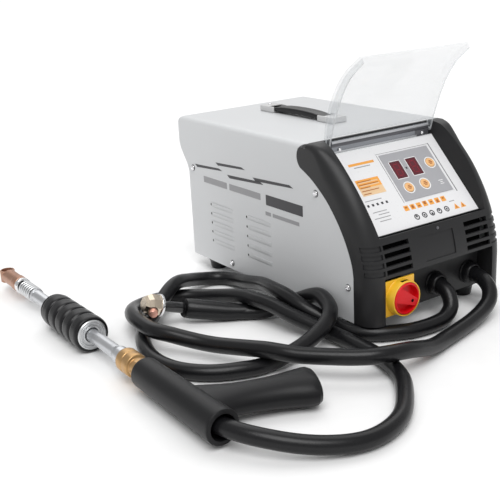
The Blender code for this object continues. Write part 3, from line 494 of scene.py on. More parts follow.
def plate_point(x, down, out):
    run = (PLATE_BOTTOM - PLATE_TOP).normalized()
    outward = Vector((0, run.z, -run.y))
    return PLATE_TOP + run * down + outward * out + Vector((x, 0, 0))


def plate_axis():
    return plate_point(0, 0, 1) - plate_point(0, 0, 0)


# ---- cables

def add_cable(name, node, route):
    """A round cable of even stretches along its route."""
    path = smooth_curve(route, 4)
    reach = lengths_along(path)
    count = round(reach[-1] / CABLE_STEP)
    points = []
    for i in range(count + 1):
        goal = reach[-1] * i / count
        k = next((j for j in range(1, len(reach)) if reach[j] >= goal - 1e-6), len(reach) - 1)
        share = (goal - reach[k - 1]) / (reach[k] - reach[k - 1])
        points.append(at(path[k - 1].lerp(path[k], share)))
    fine = smooth_curve(points, 3)
    curve = bpy.data.curves.new(name, 'CURVE')
    curve.dimensions = '3D'
    curve.bevel_depth = CABLE_RADIUS * MM
    curve.bevel_resolution = 8
    curve.use_fill_caps = True
    spline = curve.splines.new('POLY')
    spline.points.add(len(fine) - 1)
    for knot, point in zip(spline.points, fine):
        knot.co = (*point, 1)
    curve.materials.append(MATERIALS["rubber"])
    cable = bpy.data.objects.new(name, curve)
    bpy.context.scene.collection.objects.link(cable)
    finish_piece(cable, "machine", node)


def make_cables():
    add_cable("gun_lead", "gun_cable", GUN_ROUTE)
    add_cable("earth_lead", "earth_cable", EARTH_ROUTE)


def make_earth_end():
    step = (BOOT_END - BOOT_START).normalized()
    length = (BOOT_END - BOOT_START).length
    along = (CLAMP_MIDDLE - BOOT_END).normalized()
    stations = [(-26, 9.7, step, 2.5), (-22, 10, step, 2.1), (-10, 10.9, step, 0.9), (2, 11.8, step, 0),
        (16, 12.5, step, 0), (length - 18, 12.8, step, 0), (length - 10, 12.8, step * 3 + along, 0),
        (length - 4, 12.6, step + along, 0), (length - 1, 12.2, step + along * 2, 0),
        (length, 11.4, along, 0), (length, 7, along, 0)]
    rings = [circle_ring(BOOT_START + step * reach + Vector((0, 0, lift)), axis, radius, 40) for reach,
        radius, axis, lift in stations]
    boot = add_piece("clamp_boot", add_loft(bmesh.new(), rings), "rubber", "earth_boot")
    gap = (CLAMP_MIDDLE - BOOT_END).length - 13.5
    neck_shape = rounded(((5, 0), (7, 0), (7, gap * 0.6), (6.4, gap - 4), (5.6, gap - 1.6), (4, gap - 1.4)),
        0.5)
    neck = turned("clamp_neck", neck_shape, BOOT_END + along * 0.4, along, "neck", "earth_neck")
    block_shape = ((5, 0.2), (9.5, 0), (13.2, 2.5), (14, 8), (14, 18), (11.5, 24), (8.5, 27), (4, 27))
    block = turned("clamp_block", block_shape, BOOT_END + along * gap, along, "clamp", count=8, sharp=18)
    front = Vector((-0.42, -0.88, -0.22)).normalized()
    seat = CLAMP_MIDDLE + Vector((-1, 0, -1)) + front * 8
    boolean(block, cylinder_tool(seat - front * 3.5, front, 6.6, 30, 32), sharp=18)
    soften(block, 0.9, 3, 15)
    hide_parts("earth_clamp")
    collar_at = BOOT_END + along * (gap + 3)
    collar = turned("clamp_collar", rounded(((13, 0), (14.7, 0), (14.7, 3.6), (13, 3.6)), 0.8), collar_at,
        along, "chrome", ring_shaped=True)
    rod_shape = rounded(((2, -3), (5.6, -3), (5.6, 9.5), (4.8, 11.5), (1, 11.7)), 0.6)
    rod = turned("clamp_contact", rod_shape, seat, front, "rose", "earth_contact")
    return [boot, neck, block, collar, rod]


# ---- gun

def gun_point(y, z=0):
    return Vector((GUN_X, y, GUN_Z + z))


def make_gun():
    profile = rounded(((10, -0.2), (16.2, 0), (17.5, 2), (17.8, 40), (19, 150), (19, 155.5), (13.4, 155.5)),
        1.4)
    body = turned("gun_shell", profile, gun_point(-133), (0, -1, 0), "grip", count=56)
    lean = Vector((1, GRIP_LEAN, 0)).normalized()
    stations = ((4, 34, 13.8, 22.2), (13, 32, 14.4, 21.8), (22, 28.5, 14.8, 21.4), (36, 24, 14.8, 20.8),
        (48, 21.8, 15, 20.2), (62, 21, 15.2, 19.8), (77, 21.4, 15.7, 19.3), (92, 22.5, 16.4, 19),
        (104, 24.6, 17.2, 18.8), (114, 27, 17.8, 18.6), (122, 28.6, 18.2, 18.6), (127, 28.6, 17.9, 18.6),
        (131, 26, 16, 18.6), (133, 21, 12.5, 18.6))
    rings = []
    for reach, half_long, half_high, z in stations:
        centre = Vector((GUN_X, -230, z)) + Vector((lean.x * reach, lean.y * reach, 0))
        rings.append(circle_ring(centre, lean, half_high, 48, half_long / half_high))
    boolean(body, cutter(rings), 'UNION')
    boolean(body, turned_tool(rounded(((13, -12), (13, 33), (14.6, 35), (14.6, 45)), 1), gun_point(-254),
        (0, -1, 0), 56))
    soften(body, 2.2, 4, 30)
    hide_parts("gun_body")
    nut = bmesh.new()
    add_turned(nut, rounded(((9, 0.6), (11.8, 0.6), (11.8, 13), (10.4, 14), (10.4, 16), (13.6, 17),
        (14.2, 20), (14.2, 27), (13.4, 28), (13.4, 29.5), (14.2, 30.5), (14.2, 40), (12.5, 44), (8.9, 44)),
        0.7), gun_point(NUT_BACK_Y), (0, 1, 0), 48)
    collar = add_piece("gun_collar_nut", nut, "brass", "gun_nut")
    hexagon = bmesh.new()
    add_turned(hexagon, ((11, 1.5), (13, 2.3), (13, 10.5), (11, 11.5)), gun_point(NUT_BACK_Y), (0, 1, 0), 6)
    flats = add_piece("gun_nut_flats", hexagon, "brass", sharp=20)
    soften(flats, 0.6)
    profile = rounded(((4, -98), (8.4, -98), (8.4, -87.5), (10.2, -84.7), (10.6, -76), (8.2, -68), (8.2, 168),
        (9.8, 168.3), (9.8, 171.6), (6, 172), (6, 215), (4, 215.3), (4, 233), (1, 233)), 0.8)
    turned("slide_rod", profile, gun_point(0), (0, 1, 0), "steel", "hammer_rod")
    return [body, collar, flats]


def make_weight():
    """Steel core with a recessed, ringed end face, in a ribbed rubber sleeve."""
    length = WEIGHT_LENGTH
    core = ((8.6, 6), (9.2, 1.2), (11.4, 1), (11.8, 2.4), (13.4, 2.4), (13.8, 0.6), (15.2, 0.4), (15.6, 1.4),
        (16.6, 1.4), (17, 0.2), (18.6, 1.5), (18.6, length - 1.5), (16.8, length), (12.4, length),
        (9.2, length - 0.6), (8.6, length - 4))
    turned("weight_body", rounded(core, 0.35), gun_point(WEIGHT_BACK_Y), (0, 1, 0), "satin", "weight_core",
        64, True, body="weight")
    pitch = (length - 6) / WEIGHT_RIBS
    sleeve = [(18.8, 1.6), (21, 1.6)]
    for i in range(WEIGHT_RIBS):
        base = 2 + pitch * i
        crest = 22.6 - 0.2 * i
        sleeve += [(crest - 0.5, base + 1.6), (crest, base + 4.5), (crest, base + pitch - 7),
            (crest - 0.5, base + pitch - 4.4), (19.4, base + pitch - 3)]
        if i < WEIGHT_RIBS - 1:
            sleeve += [(19.1, base + pitch - 1.4), (19.8, base + pitch - 0.2)]
    sleeve += [(20.4, length - 2.6), (18.8, length - 2)]
    turned("weight_rubber", rounded(sleeve, 1), gun_point(WEIGHT_BACK_Y), (0, 1, 0), "rubber",
        "weight_sleeve", 64, True, body="weight")


def make_tip():
    turns, coil_radius, wire, start_y, pitch = 6.25, 8.9, 1.6, 174.3, 6.2
    steps = int(turns * 36)
    rings = []
    for i in range(steps + 1):
        angle = 2 * pi * turns * i / steps
        centre = Vector((GUN_X + coil_radius * cos(angle), start_y + pitch * angle / (2 * pi),
            GUN_Z + coil_radius * sin(angle)))
        along = Vector((-sin(angle) * coil_radius, pitch / (2 * pi), cos(angle) * coil_radius))
        outward = Vector((cos(angle), 0, sin(angle)))
        across = along.normalized().cross(outward)
        rings.append([centre + outward * wire * cos(k * pi / 6) + across * wire * sin(k * pi / 6)
            for k in range(12)])
    add_piece("spring_coil", add_loft(bmesh.new(), rings), "satin", "bumper_spring")
    # a black sleeve on the steel rod under the coil paints the shade in the gaps between the turns
    turned("spring_gap_shade", rounded(((6.1, 172), (7, 172.2), (7, 215.6), (6.1, 215.8)), 0.2), gun_point(0),
        (0, 1, 0), "smooth_black", count=32, ring_shaped=True)
    shape = rounded(((4.5, 0), (9.5, 0), (11.4, 1.2), (11.4, 3.4), (10.8, 4), (11.2, 4.8), (11.2, 7),
        (10.4, 7.6), (4, 7.6)), 0.5)
    turned("tip_holder", shape, gun_point(216), (0, 1, 0), "chrome", "electrode_holder")
    shape = rounded(((4.2, 0), (10.4, 0), (11.3, 1.2), (11.3, 14), (10.6, 16), (10.4, 18), (10.4, 54.2)), 0.6)
    tip = turned("copper_tip", shape, gun_point(223.8), (0, 1, 0), "copper")
    end_shape = rounded(((2, 0), (10.35, 0), (10.35, 16.8), (2, 16.8)), 1.2)
    boolean(tip, turned_tool(end_shape, gun_point(TIP_EYE_Y, -8.4), (0, 0, 1), 48), 'UNION')
    boolean(tip, turned_tool(((7.2, 0), (7.4, 6), (8.2, 10), (8.2, 22)), gun_point(TIP_EYE_Y, -1), (0, 0, 1),
        40))
    soften(tip, 0.5, 3, 30)
    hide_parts("electrode_tip")


# ---- cabinet

def shell_front_edge(gap=0):
    ear = arc(-92, TOP_Z - EAR_RADIUS, EAR_RADIUS - gap, 90, -50, 16)
    bow = ((-99, 186), (-113, 176.5), (-129, 163.5), (-144, 147), (-157, 129), (-167.5, 110), (-174.5, 92),
        (SHELL_FRONT_Y, 78))
    curve = smooth_curve([(0, *ear[-1])] + [(0, y - 1.5 * gap, z) for y, z in bow], 3)[1:]
    return ear + [(point.y, point.z) for point in curve]


def shell_rear_edge():
    step = [(REAR_FOOT_Y, BASE_Z), (REAR_FOOT_Y, 144), (186.6, 149), (190, 157), (203, 175), (206.4, 180.5),
        (REAR_Y, 188)]
    return step + arc(REAR_Y - REAR_RADIUS, TOP_Z - REAR_RADIUS, REAR_RADIUS, 0, 90, 8)


def fold_step(i, turns):
    """One ring across the casing: its side, how far out it is in the fold and how far it has dropped."""
    step = i if i <= turns else 2 * turns + 1 - i
    angle = radians(90 * step / turns)
    side = -1 if i <= turns else 1
    return side, cos(angle), 1 - sin(angle)


def louvre_places():
    """Side, rear end and height of every louvre."""
    return [(side, start, z) for side in (-1, 1) for start in LOUVRE_STARTS for z in LOUVRE_HEIGHTS]


def make_shell():
    outline = [(SHELL_FRONT_Y, BASE_Z)] + shell_rear_edge() + shell_front_edge()
    rings = []
    for i in range(18):
        side, reach, drop = fold_step(i, 8)
        x = side * (HALF_WIDTH - FOLD_RADIUS + FOLD_RADIUS * reach)
        rings.append([(x, y, min(z, TOP_Z - FOLD_RADIUS * drop)) for y, z in outline])
    shell = add_piece("casing", add_loft(bmesh.new(), rings), "paint", body=None)
    under = TOP_Z - 1.5
    hollow = [(-300, under), (200, under), (205.5, 219), (206.7, 214), (230, 214), (230, 0), (-300, 0)]
    sides = [(-300, 218.5), (205, 218.5), (206.7, 214), (230, 214), (230, 0), (-300, 0)]
    boolean(shell, prism_tool(hollow, -108, 108))
    boolean(shell, prism_tool(sides, -113.5, 113.5))
    hoods = bmesh.new()
    end_shade_dots = bmesh.new()
    for side, y, z in louvre_places():
        boolean(shell, box_tool((side * HALF_WIDTH - 4, y + 2, z - 1), (side * HALF_WIDTH + 4, y + 52,
            z + 1.2)))
        add_hood(hoods, side, y, z)
        # a near-black disc at each hood's open rear end paints the shade in the opening
        add_turned(end_shade_dots, ((0.3, 0), (1.8, 0), (1.6, 0.35), (0.3, 0.4)), (side * (HALF_WIDTH + 0.05),
            y + LOUVRE_LENGTH + 1.4, z), (side, 0, 0), 16)
    for side in (-1, 1):
        for y, z in CASING_SCREWS:
            boolean(shell, cylinder_tool((side * HALF_WIDTH - 4, y, z), (1, 0, 0), 2.2, 8, 20))
    soften(shell, 0.3, 2, 60)
    finish_piece(shell, "machine", "shell_cover")
    add_piece("louvre_hoods", hoods, "paint", sharp=40)
    add_piece("louvre_end_shade", end_shade_dots, "dark", sharp=40)


def add_hood(mesh_data, side, y, z):
    """A pressed louvre: a shallow half-round hood over its slot, open below and at the rear end."""
    rings = []
    for share in (0, 0.04, 0.1, 0.2, 0.5, 0.8, 0.9, 0.96, 1):
        swell = sqrt(max(0, 1 - (2 * share - 1) ** 6))
        if share < 0.05:
            swell = 0.75
        place = y + LOUVRE_LENGTH * (1 - share)
        ring = []
        for k in range(7):
            angle = radians(100 - 100 * k / 6)
            ring.append((side * (HALF_WIDTH - 0.1 + 1.3 * swell * sin(angle) ** 0.8), place,
                z + 3 * cos(radians(180 * k / 6))))
        inner = [(x - side * 0.5, y_in, z_in) for x, y_in, z_in in reversed(ring)]
        rings.append(ring + inner)
    add_loft(mesh_data, rings)


def bezel_outline():
    bow = [(0, -100, 226), (0, -113, 222.5), (0, -125, 214.5), (0, -137, 204.5), (0, -150, 192),
        (0, -163, 177.5), (0, -175, 161), (0, -186, 143), (0, -195, 124), (0, -202, 104), (0, -206.5, 84),
        (0, -208, 66)]
    curve = [(point.y, point.z) for point in smooth_curve(bow, 4)]
    return [(-92.3, TOP_Z)] + curve + [(-208, 44), (-208, BASE_Z + 0.3)]


def inward_normals(outline):
    normals = []
    for i in range(len(outline)):
        before = Vector(outline[max(i - 1, 0)])
        after = Vector(outline[min(i + 1, len(outline) - 1)])
        run = (after - before).normalized()
        normals.append(Vector((-run.y, run.x)))
    return normals


def front_at(z):
    """Y of the columns' front at one height."""
    line = [(y, level) for y, level in bezel_outline() if level < 225.9]
    for (y_one, z_one), (y_two, z_two) in zip(line, line[1:]):
        if z_two <= z <= z_one:
            share = (z_one - z) / (z_one - z_two)
            return y_one + (y_two - y_one) * share
    return line[-1][0]


def bezel_rings(half, wall, back):
    """Rings of the moulding's outer form: its long edges open from a tight to a wide radius going down."""
    outline = bezel_outline()
    normals = inward_normals(outline)
    radii = []
    for length in lengths_along(outline):
        share = min(1, length / 62)
        radii.append(FOLD_RADIUS + (COLUMN_RADIUS - FOLD_RADIUS) * share * share * (3 - 2 * share) - wall)
    rings = []
    turns = 14
    for i in range(2 * turns + 2):
        side, spread, drop = fold_step(i, turns)
        ring = []
        for (y, z), n, radius in zip(outline, normals, radii):
            depth = radius * drop + wall
            ring.append((side * (half - radius + radius * spread), y + n.x * depth, z + n.y * depth))
        edge = FOLD_RADIUS - wall
        level = TOP_Z - FOLD_RADIUS * drop
        ring += [(side * (half - edge + edge * spread), y, min(z, level)) for y, z in back]
        rings.append(ring)
    return rings


def tub_tool():
    """The dished pocket over the control plate, with walls that lean outwards."""
    floor, foot = plate_point(0, 0, -1.8), plate_point(0, 119.5, -1.8)
    outline = [(-96, 250), (-96, 207.8), (floor.y, floor.z), (foot.y, foot.z), (-188.6, 124.5), (-240, 124.5),
        (-240, 250)]
    rings = []
    for side in (-1, 1):
        ring = []
        for y, z in outline:
            lift = (Vector((0, y, z)) - PLATE_TOP).dot(plate_axis())
            ring.append((side * (TUB_HALF + WALL_LEAN * lift), y, z))
        rings.append(ring)
    return cutter(rings)


def make_bezel():
    back = [(SHELL_FRONT_Y - 0.45, BASE_Z + 0.3)] + shell_front_edge(0.3)[::-1]
    bezel = add_piece("front_moulding", add_loft(bmesh.new(), bezel_rings(HALF_WIDTH, 0, back)), "plastic",
        sharp=30, body=None)
    open_back = [(-120, 0), (-60, 100), (-60, 222), (-90, 222)]
    cavity = cutter(bezel_rings(HALF_WIDTH - 3, 3, open_back))
    floor, foot = plate_point(0, 0, -1.8), plate_point(0, 119.5, -1.8)
    tub_outer = [(-93.5, 250), (-93.5, 205), (floor.y + 1, 204.7), (foot.y + 3, foot.z - 4), (-186, 112),
        (-240, 112), (-240, 250)]
    boolean(cavity, prism_tool(tub_outer, -99, 99))
    boolean(cavity, box_tool((-94.5, -240, -10), (94.5, -182, 81)))
    window = [[plate_point(x, down, out) for down, out in ((14, -12), (85, -12), (85, 5), (14, 5))]
        for x in (-19, 67)]
    tools = [cavity, tub_tool(), box_tool((-92, -240, -10), (92, -150, 78)), cutter(window),
        box_tool((-87, -193.8, 117), (87, -189, 126))]
    for side in (-1, 1):
        ends = sorted((side * 47, side * 88))
        for z in VENT_HEIGHTS:
            tools.append(box_tool((ends[0], -230, z - 3), (ends[1], -180, z + 3)))
            tools.append(pocket_tool(side, z))
    face = [(front_at(z) + 1.2, z) for z in (84, 91, 98, 106, 114)]
    tools.append(prism_tool(face + [(-230, 114), (-230, 84)], -24, 27))
    for tool in tools:
        boolean(bezel, tool, sharp=30)
    soften(bezel, 0.8, 3, 32)
    finish_piece(bezel, "machine", "front_bezel")
    # near-black boxes behind the vent slots paint the shade inside the columns
    shades = bmesh.new()
    for side in (-1, 1):
        ends = sorted((side * 45, side * 90))
        add_box(shades, (ends[0], -187, 79.5), (ends[1], -185, 118.5), 0.3)
    add_piece("vent_painted_shade", shades, "dark")
    # the latch bump's grey paints the highlight on the lip's top edge
    turned("latch_bump", rounded(((0.3, 0), (2, 0), (2, 0.6), (0.4, 1.3)), 0.5),
        (3, front_at(119) - 0.1, 119), (0, -1, 0.3), "bump")


def pocket_tool(side, z):
    """A shallow pocket that wraps the rounded outer face of a column and follows its bowed front."""
    rings = []
    for level in (z - 3, z, z + 3):
        middle_y = front_at(level) + COLUMN_RADIUS
        outer, inner = [], []
        for i in range(13):
            angle = radians(25 + 71 * i / 12)
            for ring, radius in ((outer, 28), (inner, 20.3)):
                ring.append((side * (93 + radius * cos(angle)), middle_y - radius * sin(angle), level))
        rings.append(outer + inner[::-1])
    return cutter(rings)


def make_glands():
    soften(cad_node("output_panel", "plastic"), 0.3)
    profile = rounded(((9.7, 3), (9.7, 11.4), (10.5, 12.3), (11.4, 12.2), (12.6, 11), (13.6, 8.4), (14.2, 5),
        (14.4, 2.2), (15.4, 1.6), (15.4, 0), (12, 0), (12, -5), (4, -5), (4, 3)), 0.8)
    for name, node, route in (("gun_gland", "gland_gun", GUN_ROUTE), ("earth_gland", "gland_earth",
            EARTH_ROUTE)):
        turned(name, profile, (route[0][0], GLAND_BACK_Y, GLAND_Z), (0, -1, 0), "rubber", node, 56, True)


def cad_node(name, look):
    """Give a carried-over CAD node a new finish."""
    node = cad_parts[name]
    node.data.materials.clear()
    node.data.materials.append(MATERIALS[look])
    return node


def switch_point(y, x=0, z=0):
    return Vector((SWITCH_X + x, y, SWITCH_Z + z))


def make_switch():
    front = (0, -1, 0)
    block = add_box(bmesh.new(), switch_point(-207, -23.3, -22.3), switch_point(-204, 23.3, 22.3), 0.7, 3)
    plate = add_piece("isolator_plate", block, "yellow", sharp=30, body=None)
    collar = ((22.8, 0), (22, 1), (21.9, 11.6), (21.4, 12.5))
    boolean(plate, turned_tool(collar, switch_point(-206.5), front, 64), 'UNION')
    boolean(plate, cylinder_tool(switch_point(-207.2), front, 20.2, 20, 64))
    boolean(plate, cylinder_tool(switch_point(-200), front, 4.4, 20, 32))
    boolean(plate, box_tool(switch_point(-217, -5.5, 17), switch_point(-212.5, 5.5, 26), 0.4))
    soften(plate, 0.35)
    finish_piece(plate, "machine", "switch_plate")
    # a near-black strip at the bottom of the collar's slot paints the shade inside it
    slot_painted_shade = add_box(bmesh.new(), switch_point(-216.7, -5.2, 20.3), switch_point(-212.8, 5.2, 21.2), 0.1)
    add_piece("collar_slot_shade", slot_painted_shade, "dark")
    disc = rounded(((1, 0), (19.6, 0), (19.6, 11.5), (18.8, 12.6), (1, 12.8)), 0.6)
    knob = turned("isolator_knob", disc, switch_point(-207.5), front, "red", count=64, sharp=30, body=None)
    for side in (-1, 1):
        boolean(knob, scoop_tool(side), sharp=30)
    soften(knob, 0.5, 3, 30)
    finish_piece(knob, "knob", "switch_knob")
    turned("knob_spindle", ((1, 0), (4, 0), (4, 8.5), (1, 8.5)), switch_point(-200), front, "red",
        body="knob")
    # a thin near-black disc on the knob's face paints the shade of the padlock hole; no hole is cut
    turned("knob_lock_hole_shade", ((0.4, 0), (2, 0), (2, 0.12), (0.4, 0.12)), switch_point(-220.3, 7.6, -4), front,
        "dark", body="knob")


def scoop_tool(side):
    """One of the two hollows that leave a slanted, tapering grip bar across the knob."""
    outline = [(4.4, -16.4), (9.2, 14.4)]
    for i in range(11):
        angle = radians(50 - 118 * i / 10)
        outline.append((17.3 * cos(angle), 17.3 * sin(angle)))
    tilt = radians(GRIP_BAR_TILT)
    rings = []
    for y, scale in ((-223, 1.02), (-213, 0.93), (-211.8, 0.84)):
        ring = []
        for across, along in outline:
            across, along = side * (7 + (across - 7) * scale), along * scale
            ring.append((SWITCH_X + across * sin(tilt) - along * cos(tilt), y, SWITCH_Z + across * cos(tilt)
                + along * sin(tilt)))
        rings.append(ring)
    return cutter(rings)


# ---- control panel

def plate_patch(mesh_data, x, down, width, height, base=0, thick=PRINT_THICK):
    """A thin printed patch that follows the sloped plate."""
    rings = []
    for out in (base, base + thick):
        rings.append([plate_point(x + dx, down + dy, out) for dx, dy in ((-width / 2, -height / 2),
            (width / 2, -height / 2), (width / 2, height / 2), (-width / 2, height / 2))])
    return add_loft(mesh_data, rings)


def plate_ring(mesh_data, x, down, outer, inner, base=0):
    centre = plate_point(x, down, 0)
    top = base + PRINT_THICK
    profile = ((inner, base), (outer, base), (outer, top), (inner, top))
    return add_turned(mesh_data, profile, centre, plate_axis(), 32, True)


def add_patches(mesh_data, patches, base=0, x=0, down=0, thick=PRINT_THICK):
    """Patches from (x, down, width, height) rows, measured from one place on the plate."""
    for across, along, width, height in patches:
        plate_patch(mesh_data, x + across, down + along, width, height, base, thick)


def make_plate():
    sheet = add_piece("printed_plate", plate_patch(bmesh.new(), 0, 58.8, 173.2, 119.6, -1.5, 1.5), "white",
        body=None)
    for x in DISPLAYS_X:
        boolean(sheet, cutter(mesh_data=plate_patch(bmesh.new(), x, DISPLAYS_DOWN, 17.6, 25.6, -5, 10)))
    for x, down in BUTTONS:
        boolean(sheet, cylinder_tool(plate_point(x, down, -5), plate_axis(), 7, 10))
    soften(sheet, 0.2)
    finish_piece(sheet, "machine", "control_plate")
    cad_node("display_field", "field")
    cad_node("display_left", "window")
    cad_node("display_right", "window")


def make_white_marks():
    """Frames round the displays, rings round the buttons and three short bars, all on the grey field."""
    marks = bmesh.new()
    for x in DISPLAYS_X:
        add_patches(marks, ((0, -13.2, 19.4, 0.9), (0, 13.2, 19.4, 0.9), (-9.25, 0, 0.9, 27.2),
            (9.25, 0, 0.9, 27.2)), FIELD_TOP, x, DISPLAYS_DOWN)
    for x, down in BUTTONS:
        plate_ring(marks, x, down, 8.6, 7.1, FIELD_TOP)
    add_patches(marks, [(54.1, 67.5 + 2.6 * row, width, 0.9) for row, width in enumerate((7.5, 4.5, 6.5))],
        FIELD_TOP)
    add_piece("membrane_marks", marks, "white_ink")


def make_orange_print():
    """A title bar, a two-tone block of bars, a row of squares and two triangles in place of label print."""
    orange, shades, pale = bmesh.new(), bmesh.new(), bmesh.new()
    add_patches(orange, ((-49, 19.8, 41, 3.4), (-54.5, 47.6, 37, 12.2)))
    add_patches(orange, [(-22 + 10.5 * i, 93, 7.2, 7.2) for i in range(7)])
    for x in (54, 65.5):
        add_loft(orange, [[plate_point(x + dx, 107 + dy, out) for dx, dy in ((-4.4, 4), (4.4, 4), (0, -4))]
            for out in (0, PRINT_THICK)])
    add_piece("orange_print", orange, "orange")
    add_patches(shades, [(x, 108.4, 1.4, 3.2) for x in (54, 65.5)], 0.14)
    add_patches(shades, [(-71 + width / 2, 44.5 + 4.4 * i, width, 1.1) for i,
        width in enumerate((22, 31, 16, 27, 12))], 0.14)
    add_patches(shades, [(-22 + 10.5 * i, 92 + i % 3, 3.4, 2 + i % 2 * 2) for i in range(7)], 0.14)
    add_piece("shade_print", shades, "mark")
    plate_patch(pale, -54.5, 59.1, 37, 10.8)
    add_patches(pale, [(-54.5, 46 + 4.6 * row, 31, 1.5) for row in range(4)], 0.14)
    add_piece("pale_print", pale, "pale_orange")


def make_dark_print():
    """Rings, squares and lines in place of signs and text."""
    dark, grey = bmesh.new(), bmesh.new()
    plate_patch(dark, 13.5, DISPLAYS_DOWN, 2.6, 2.6, FIELD_TOP)
    for i in range(5):
        x = -14 + 12.8 * i
        plate_ring(dark, x, 107.5, 4, 2.6)
        plate_patch(dark, x, 107.5 + (i % 3 - 1) * 0.8, 2.6, 2.6)
    add_patches(dark, [(-74 + 7.4 * i, 78, 3.2, 3.2) for i in range(5)])
    add_patches(dark, ((70.4, 49.5, 1.1, 76), (-20.4, 49.5, 0.5, 72)))
    add_piece("dark_print", dark, "ink")
    add_patches(grey, ((-62, 71.5, 26, 1), (-62, 88, 22, 1), (-58, 92, 17, 1), (-63, 96.5, 25, 1),
        (-61, 101, 18, 1), (52, 99, 9, 1), (25, 12.4, 92, 0.6), (-50, 24.4, 26, 1.2)))
    add_piece("grey_print", grey, "grey_ink")


def make_segments():
    """The seven unlit segments of each display."""
    segments = bmesh.new()
    strokes = [(0, level, 6.4, 1.3) for level in (-8.4, 0, 8.4)]
    strokes += [(across, level, 1.3, 6.6) for level in (-4.2, 4.2) for across in (-4.2, 4.2)]
    for x in DISPLAYS_X:
        add_patches(segments, strokes, 0.5, x, DISPLAYS_DOWN, 0.08)
    add_piece("display_segments", segments, "segment")


def make_buttons():
    shape = rounded(((1, -3.5), (6.6, -3.5), (6.6, 1.2), (6, 1.9), (4.6, 2.15), (4.2, 1.9), (0.6, 1.8)), 0.4)
    for i, ((x, down), body) in enumerate(zip(BUTTONS, BUTTON_BODIES), 1):
        turned(f"button_cap_{i}", shape, plate_point(x, down, 0), plate_axis(), "button", f"button_{i}",
            body=body)
        sign = bmesh.new()
        add_patches(sign, ((0, 0, 6.2, 1.1), (0, -2.1, 3.4, 1), (0, 2.1, 4, 1)), 1.95, x, down, 0.25)
        add_piece(f"button_sign_{i}", sign, "mark", body=body)


def make_cover():
    thick, half = COVER_SHEET, COVER_HALF
    bow = ((0, -94, 227.6), (0, -95.2, 238), (0, -99.5, 254), (0, -107, 273), (0, -119, 294), (0, -137, 314),
        (0, -161, 330.5))
    back = [(point.y, point.z) for point in smooth_curve(bow, 5)]
    normals = inward_normals(back)
    front = [(y + n.x * thick, z + n.y * thick) for (y, z), n in zip(back, normals)]
    brim = []
    for i, ((y, z), n) in enumerate(zip(back, normals)):
        share = i / (len(back) - 1)
        depth = 11 + 5 * sin(pi * share) - 3 * share
        brim.append((y + n.x * depth, z + n.y * depth))
    outline = back + brim[:0:-1] + arc(HINGE_Y, HINGE_Z, 3, 200, 340, 8) + [(-96.6, 226.8)]
    cover = add_piece("flip_cover",
        add_loft(bmesh.new(), [[(x, y, z) for y, z in outline] for x in (-half, half)]), "clear", sharp=30,
        body=None)
    beyond = (2 * front[-1][0] - front[-2][0], 2 * front[-1][1] - front[-2][1])
    middle = [(-80, 200), (-80, 228.3), (front[0][0], 228.3)] + front[1:] + [beyond, (-240, 345), (-240, 200)]
    boolean(cover, prism_tool(middle, -half + thick, half - thick))
    boolean(cover, cylinder_tool((-100, HINGE_Y, HINGE_Z), (1, 0, 0), 1.7, 200, 24))
    # the cover's thin edge faces and small rim faces take a whiter, more opaque finish that paints their
    # highlight
    cover.data.materials.append(MATERIALS["clear_edge_highlight"])
    rim_z = (bow[-1][2] - 2) * MM
    for face in cover.data.polygons:
        across = [cover.data.vertices[i].co.x for i in face.vertices]
        thin = max(across) - min(across) < 3 * MM and abs(face.normal.x) < 0.5
        if thin or (face.center.z > rim_z and abs(face.normal.x) < 0.5 and face.area < 600e-6):
            face.material_index = 1
    finish_piece(cover, "cover", "clear_cover")


def make_hinge():
    soften(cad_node("hinge_bar", "bar"), 0.2)
    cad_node("hinge_rod", "chrome")
    face = HINGE_Y - 3
    # light strips along the bar's face: painted highlights
    light = add_box(bmesh.new(), (-81.5, face - 0.5, 221.6), (81.5, face + 0.2, 224.4), 0.2)
    add_box(light, (-81.5, face - 0.8, 209.8), (60, face + 0.2, 212), 0.2)
    add_piece("bar_highlight_bands", light, "band")
    # a dark strip along the bar and a dark block at its right end: painted shade
    dark = add_box(bmesh.new(), (-81.5, face - 0.3, 217.6), (81.5, face + 0.2, 221.6), 0.1)
    add_box(dark, (58, face - 0.4, 209.8), (81.5, face + 0.2, 217.6), 0.1)
    add_piece("bar_shade_bands", dark, "dark_band")
    # an opaque white strip along the clear ledge paints the highlight on its edge
    ledge = add_box(bmesh.new(), (-84, face - 2.2, 208), (84, face - 1.2, 209.6), 0.3)
    add_piece("clear_ledge_highlight", ledge, "ledge")
    for i, x in enumerate((-70, 70)):
        screw_head(f"bar_screw_{i}", (x, face - 0.6, 213.4), (0, -1, 0), 2.4)


def screw_head(name, place, axis, radius, node=None):
    """A pan head with a cross recess."""
    shape = rounded(((0.2, 0), (radius, 0), (radius * 0.96, radius * 0.3), (radius * 0.62, radius * 0.55),
        (0.2, radius * 0.6)), 0.4)
    head = turned(name, shape, place, axis, "chrome", count=28, body=None)
    along = Vector(axis)
    for turn in (45, 135):
        arm = add_box(bmesh.new(), (-radius * 0.55, -radius * 0.13, radius * 0.25),
            (radius * 0.55, radius * 0.13, radius))
        arm.transform(Matrix.Translation(place) @ along.to_track_quat('Z', 'Y').to_matrix().to_4x4()
            @ Matrix.Rotation(radians(turn), 4, 'Z'))
        boolean(head, cutter(mesh_data=arm))
    return finish_piece(head, "machine", node)


